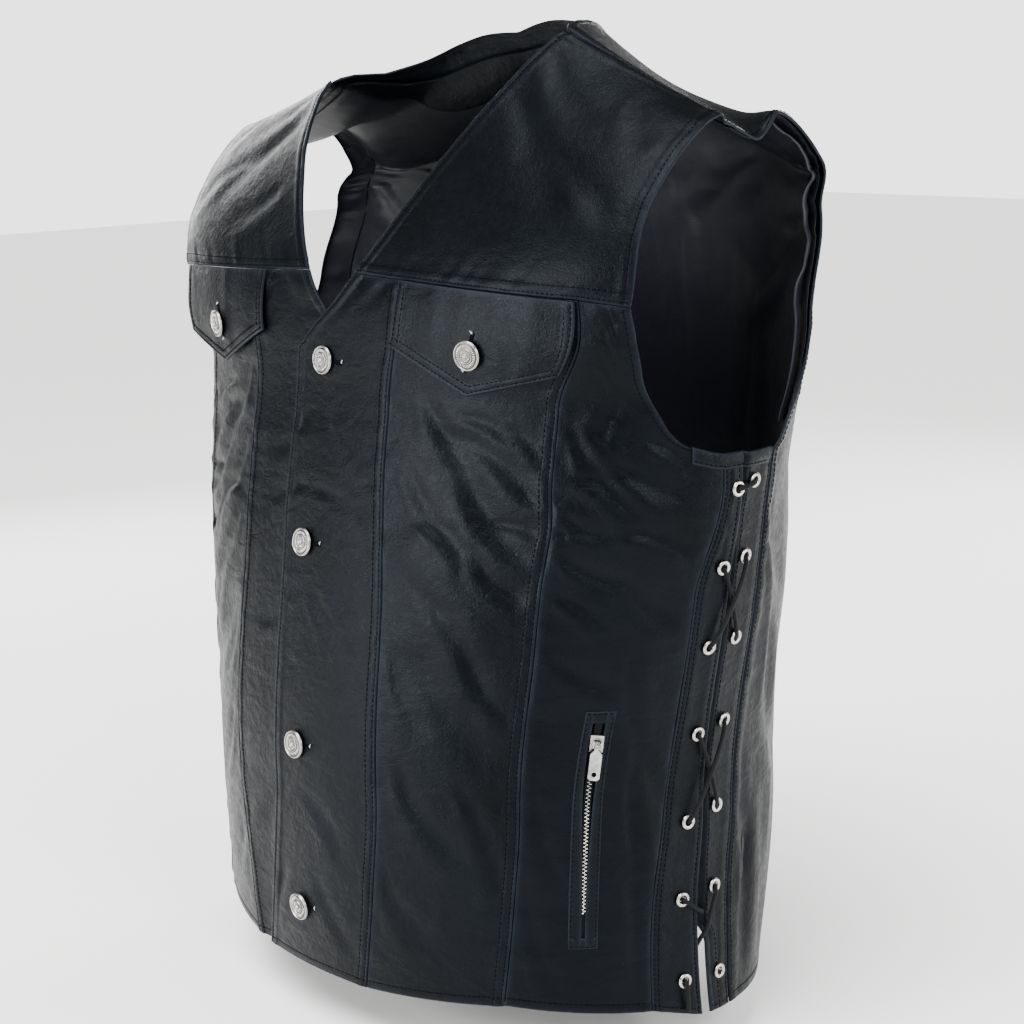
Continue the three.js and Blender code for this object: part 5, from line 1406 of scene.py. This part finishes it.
# ---------------------------------------------------------------- gathered satin at armholes
# Along each armhole's back edge the satin is eased onto the hide. It bags a few millimetres
# past the edge in small uneven gathers, and the armhole stays open.
BAGS = {"left": {"reach": 5, "low": 3.3, "high": 7.0},
        "right": {"reach": 6, "low": 3.35, "high": 6.9}}
BAG_DEEP = 3.5
for side, sign in SIDES.items():
    bag = BAGS[side]
    rows = np.linspace(bag["low"], bag["high"], 150)
    out = np.linspace(0, 1, 44)[None, :, None]
    edge_x = smooth(*BACK_ARMHOLES[side], rows)
    anchors = []
    for back_off in (16, 1.5):
        angle = back_angle(sign * (edge_x - back_off), rows)
        normal, _ = body_frame(angle, rows)
        anchors.append(body_point(angle, rows) - BAG_DEEP * normal)
    share = (rows - bag["low"]) / (bag["high"] - bag["low"])
    reach = bag["reach"] * np.clip(np.sin(np.pi * share), 0, 1) ** 0.35
    reach = reach * (1 + 0.10 * (ripple(share * 300, 2400 + sign, 26) - 0.5))
    tip = anchors[1] + np.stack([-sign * (1.5 + 0.16 * reach), -reach, 0 * reach], 1)
    turned = ((1 - out) ** 2 * anchors[0][:, None] + 2 * out * (1 - out) * anchors[1][:, None]
              + out ** 2 * tip[:, None])
    length = share * 300
    fold = ripple(length, 2410 + sign, 17)[:, None] * ease(0.3 + out[..., 0])
    fine = ripple(length, 2420 + sign, 7)[:, None] * ease(3.0 * out[..., 0]) * np.exp(
        -out[..., 0] / 0.6)
    turned = turned - normal[:, None] * (4.6 * fold + 2.2 * fine)[..., None]
    if sign < 0:
        turned = turned[:, ::-1]
    across, along = np.gradient(turned, axis=1), np.gradient(turned, axis=0)
    off = np.cross(across, along)
    off = unit(off)
    faces = np.stack([turned, turned - 0.5 * off])
    count = faces[0].shape[0] * faces[0].shape[1]
    index = np.arange(count).reshape(faces[0].shape[:2])
    outer_quads = np.stack([index[:-1, :-1], index[:-1, 1:], index[1:, 1:], index[1:, :-1]], -1)
    rim = np.concatenate([index[0, :-1], index[:-1, -1], index[-1, :0:-1], index[:0:-1, 0]])
    next_rim = np.roll(rim, -1)
    quads = np.concatenate([
        outer_quads.reshape(-1, 4), outer_quads.reshape(-1, 4)[:, ::-1] + count,
        np.stack([next_rim, rim, rim + count, next_rim + count], -1),
    ])
    mesh = bpy.data.meshes.new(f"armhole_satin_{side}")
    mesh.from_pydata((faces.reshape(-1, 3) * MM).tolist(), [], quads.tolist())
    mesh.materials.append(satin)
    mesh.polygons.foreach_set("use_smooth", np.ones(len(quads), bool))
    bag_piece = bpy.data.objects.new(f"armhole_satin_{side}", mesh)
    bpy.context.collection.objects.link(bag_piece)
    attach(bag_piece, BODY)

# ---------------------------------------------------------------- armhole bindings
# Under each armhole a rounded binding of hide is folded over the tops of both strips.
for side, sign in SIDES.items():
    angle = np.linspace(74, 97.5, 40)[None]
    top = np.interp(angle, (74, 79.2, 82.8, 97.5), (3.235, 3.19, 3.172, 3.172)) + 0.012
    across = spaced(8.5, EDGE_STEPS[:5], 1.2)[:, None]
    level = top - 0.115 * (1 - across)
    angle = angle + 0 * level
    edges = edge_distances(angle, level)
    rim = np.minimum(edges["top"], edges["bottom"])
    height = 1.0 + 1.0 * np.sqrt(np.clip(rim / 4.0, 0, 1)) - 0.3 * np.exp(
        -((edges["bottom"] - 2.0) / 0.6) ** 2)
    height += 0.3 * (ripple(edges["left"], 2500 + sign, 9) - 0.5)
    bar = shell(f"armhole_binding_{side}", mirror(side, (angle, level)), flip(side, height), 2.6,
                strap_hide)
    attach(bar["piece"], BODY)
    panels[f"armhole_binding_{side}"] = bar

# ---------------------------------------------------------------- topstitching
# Seams and edges are topstitched with bonded black thread, three stitches to the
# centimetre, and each stitch sinks a little at its ends.
STITCH = {"pitch": 3.4, "length": 2.6, "radius": 0.34}
# Bonded polyester thread: black and faintly shiny; its twist is too fine to draw.
thread, tree = new_material("bonded_polyester_thread")
where = add_node(tree, "ShaderNodeTexCoord")
ply = add_node(tree, "ShaderNodeTexWave", {"Scale": 900}, {"Vector": (where, "Object")},
               bands_direction="DIAGONAL")
tint = add_node(tree, "ShaderNodeValToRGB", links={"Fac": (ply, "Fac")})
tint.color_ramp.elements[0].color = linear("#010102")
tint.color_ramp.elements[1].color = linear("#050609")
finish_material(tree, add_node(tree, "ShaderNodeBsdfPrincipled", {
    "Roughness": 0.55, "Specular IOR Level": 0.03,
}, {"Base Color": (tint, "Color")}))
CAPSULE_RINGS = [(-0.5, 0.0), (-0.36, 0.9), (0.36, 0.9), (0.5, 0.0)]
CAPSULE_SIDES = 6


def capsules(name, centres, tangents, normals, length, radius, finish):
    """One mesh of many short thread capsules; each has 24 triangles."""
    sides = unit(np.cross(tangents, normals))
    normals = unit(np.cross(sides, tangents))
    turn = np.arange(CAPSULE_SIDES) * 2 * np.pi / CAPSULE_SIDES
    points = [centres + tangents * length * CAPSULE_RINGS[0][0]]
    for share, swell in CAPSULE_RINGS[1:3]:
        for t in turn:
            points.append(centres + tangents * length * share
                          + (sides * np.cos(t) + normals * np.sin(t)) * radius * swell)
    points.append(centres + tangents * length * CAPSULE_RINGS[3][0])
    points = np.stack(points, 1)
    n = CAPSULE_SIDES
    faces = []
    for k in range(n):
        j = (k + 1) % n
        faces += [(0, 1 + k, 1 + j, 1 + j), (1 + k, 1 + n + k, 1 + n + j, 1 + j),
                  (1 + n + k, 1 + 2 * n, 1 + n + j, 1 + n + j)]
    count = points.shape[1]
    mesh = bpy.data.meshes.new(name)
    faces = [[i for m, i in enumerate(f) if i not in f[:m]] for f in faces]
    every = [[i + s * count for i in f] for s in range(len(points)) for f in faces]
    mesh.from_pydata((points.reshape(-1, 3)).tolist(), [], every)
    mesh.materials.append(finish)
    mesh.polygons.foreach_set("use_smooth", np.ones(len(every), bool))
    mesh.update()
    piece = bpy.data.objects.new(name, mesh)
    bpy.context.collection.objects.link(piece)
    bpy.ops.object.select_all(action="DESELECT")
    piece.select_set(True)
    bpy.context.view_layer.objects.active = piece
    bpy.ops.object.mode_set(mode="EDIT")
    bpy.ops.mesh.select_all(action="SELECT")
    bpy.ops.mesh.normals_make_consistent(inside=False)
    bpy.ops.object.mode_set(mode="OBJECT")
    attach(piece, BODY)
    return piece


def thread_line(panel, side, edge, distance, low=0.0, high=1.0, trim=2.5):
    """Points and normals of a line on a panel at a distance in mm from one of its edges."""
    if side == "right":
        edge = {"left": "right", "right": "left"}.get(edge, edge)
    outer, normal = panel["outer"], panel["normal"]
    away = panel["edges"][edge]
    if edge in ("top", "bottom"):
        away = away.T
        outer, normal = outer.transpose(1, 0, 2), normal.transpose(1, 0, 2)
    columns = np.arange(away.shape[1], dtype=float)
    points, ups = [], []
    for r in range(away.shape[0]):
        if away[r].max() < distance + 0.5:
            continue
        row, at = (away[r], columns) if away[r, 0] < away[r, -1] else (away[r, ::-1],
                                                                       columns[::-1])
        c = float(np.interp(distance, row, at))
        i = min(int(c), away.shape[1] - 2)
        points.append(mix(outer[r, i], outer[r, i + 1], c - i))
        ups.append(mix(normal[r, i], normal[r, i + 1], c - i))
    points, ups = np.array(points), np.array(ups)
    run = np.concatenate([[0], np.cumsum(np.linalg.norm(np.diff(points, axis=0), axis=1))]) / MM
    start = max(trim, low * run[-1])
    stop = min(run[-1] - trim, high * run[-1])
    at = np.arange(start, stop, STITCH["pitch"])
    if len(at) < 2:
        return None
    def along(values, where):
        return np.stack([np.interp(where, run, values[:, k]) for k in range(3)], 1)

    tangent = unit(along(points, at + 1.2) - along(points, at - 1.2))
    return along(points, at), tangent, unit(along(ups, at))


def sew(name, panel, side, rows):
    """Sews rows of stitches on a panel: edge, distance and, at times, share and trim."""
    lines = [thread_line(panel, side, *row) for row in rows]
    lines = [line for line in lines if line is not None]
    centres, tangents, normals = (np.concatenate([line[k] for line in lines]) for k in range(3))
    capsules(name, centres + normals * 0.12 * MM, tangents, normals, STITCH["length"] * MM,
             STITCH["radius"] * MM, thread)


ARMHOLE_LOW = 0.74
for side in SIDES:
    seams = {
        f"placket_{side}": [("left", 3.0), ("right", 2.4), ("right", 8.0), ("bottom", 6.0)],
        f"front_centre_{side}": [("right", 2.4), ("right", 8.0), ("bottom", 6.0)],
        f"front_side_{side}": [("bottom", 6.0), ("right", 5.0, ARMHOLE_LOW, 1.0)],
        f"front_yoke_{side}": [("bottom", 2.4), ("bottom", 8.0), ("left", 4.0), ("right", 5.0),
                               ("top", 3.0)],
        f"lace_strip_front_{side}": [("right", 3.4), ("left", 2.2), ("left", 5.4),
                                     ("bottom", 4.0)],
        f"lace_strip_back_{side}": [("left", 8.5), ("right", 2.2), ("bottom", 4.0)],
        f"pocket_flap_{side}": [("left", 2.4), ("right", 2.4), ("bottom", 2.4),
                                ("left", 7.2, 0, 1, 7.2), ("right", 7.2, 0, 1, 7.2),
                                ("bottom", 7.2, 0, 1, 7.2)],
        f"zip_welt_fore_{side}": [("left", 1.5)],
        f"zip_welt_aft_{side}": [("right", 1.5)],
        f"zip_welt_top_{side}": [("top", 1.5)],
        f"zip_welt_foot_{side}": [("bottom", 1.5)],
        f"armhole_binding_{side}": [("bottom", 2.0)],
    }
    for name, rows in seams.items():
        sew(f"stitches_{name}", panels[name], side, rows)
sew("stitches_back", panels["back_panel"], "left", [
    ("left", 5.0, 0.5, 1.0), ("right", 5.0, 0.5, 1.0), ("left", 2.4, 0.0, 0.5),
    ("right", 2.4, 0.0, 0.5), ("top", 4.0), ("bottom", 6.0),
])

# ---------------------------------------------------------------- buttonholes
# Each hole is a slit worked round with close black thread, on the side that its button
# pulls to. A short end of pale basting thread is left at its far end.
HOLE_REACH = {"front": (8.5, 17.5), "pocket": (-13.0, 13.0)}
# Cotton basting thread: undyed, matt and a little hairy.
basting, tree = new_material("undyed_cotton_thread")
where = add_node(tree, "ShaderNodeTexCoord")
fuzz = add_node(tree, "ShaderNodeTexNoise", {"Scale": 1800}, {"Vector": (where, "Object")})
tint = add_node(tree, "ShaderNodeValToRGB", links={"Fac": (fuzz, "Fac")})
tint.color_ramp.elements[0].color = linear("#8f969e")
tint.color_ramp.elements[1].color = linear("#c9ced3")
finish_material(tree, add_node(tree, "ShaderNodeBsdfPrincipled", {"Roughness": 0.85},
                               {"Base Color": (tint, "Color")}))


def on_panel(panel, angle, level):
    """The nearest point of a panel's face to a place, and its normal."""
    spot = place(angle, level, 0.0)
    gaps = np.linalg.norm(panel["outer"] - spot, axis=2)
    r, c = np.unravel_index(np.argmin(gaps), gaps.shape)
    return panel["outer"][r, c], panel["normal"][r, c]


for name, panel_name, angle, level, slant, reach in (
    [(name, "placket_left", angle, level, 0.0, HOLE_REACH["front"])
     for name, angle, level in FRONT_BUTTONS]
    + [(f"pocket_{side}", f"pocket_flap_{side}", sign * POCKET_BUTTON[0], POCKET_BUTTON[1],
        sign * 1.25, HOLE_REACH["pocket"]) for side, sign in SIDES.items()]
):
    panel = panels[panel_name]
    spot, normal = on_panel(panel, np.float64(angle), np.float64(level))
    upward = Vector((0, 0, 1))
    across = upward.cross(Vector(normal)).normalized()
    along = Vector(normal).cross(across)
    run = np.array(across * math.cos(slant) + along * math.sin(slant))
    side_way = np.cross(normal, run)
    at = np.arange(reach[0], reach[1], 0.75)
    rows = np.concatenate([at, at])
    lean = np.concatenate([np.full(len(at), 0.85), np.full(len(at), -0.85)])
    centres = spot + (run[None] * rows[:, None] + side_way[None] * lean[:, None]) * MM
    faces = panel["outer"].reshape(-1, 3)
    tops = panel["normal"].reshape(-1, 3)
    near = np.array([np.argmin(np.linalg.norm(faces - c, axis=1)) for c in centres])
    drop = ((centres - faces[near]) * tops[near]).sum(axis=1)
    centres = centres - tops[near] * (drop - 0.12 * MM)[:, None]
    capsules(f"buttonhole_{name}", centres, np.broadcast_to(side_way, centres.shape),
             tops[near], 1.6 * MM, 0.38 * MM, thread)
    ends = [centres[len(at) - 1]] if reach is HOLE_REACH["front"] else [centres[0],
                                                                      centres[len(at) - 1]]
    tufts = np.repeat(np.array(ends), 3, axis=0)
    lift = np.tile(np.array([[0.4], [0.7], [0.2]]) * MM, (len(ends), 1))
    tilt = np.tile(np.array([[0.5], [-0.4], [1.4]]), (len(ends), 1))
    way = unit(side_way[None] * tilt + run[None] * 0.6 + normal[None] * 0.25)
    capsules(f"basting_{name}", tufts + normal[None] * lift + way * 0.5 * MM, way,
             np.broadcast_to(normal, way.shape), 2.6 * MM, 0.24 * MM, basting)
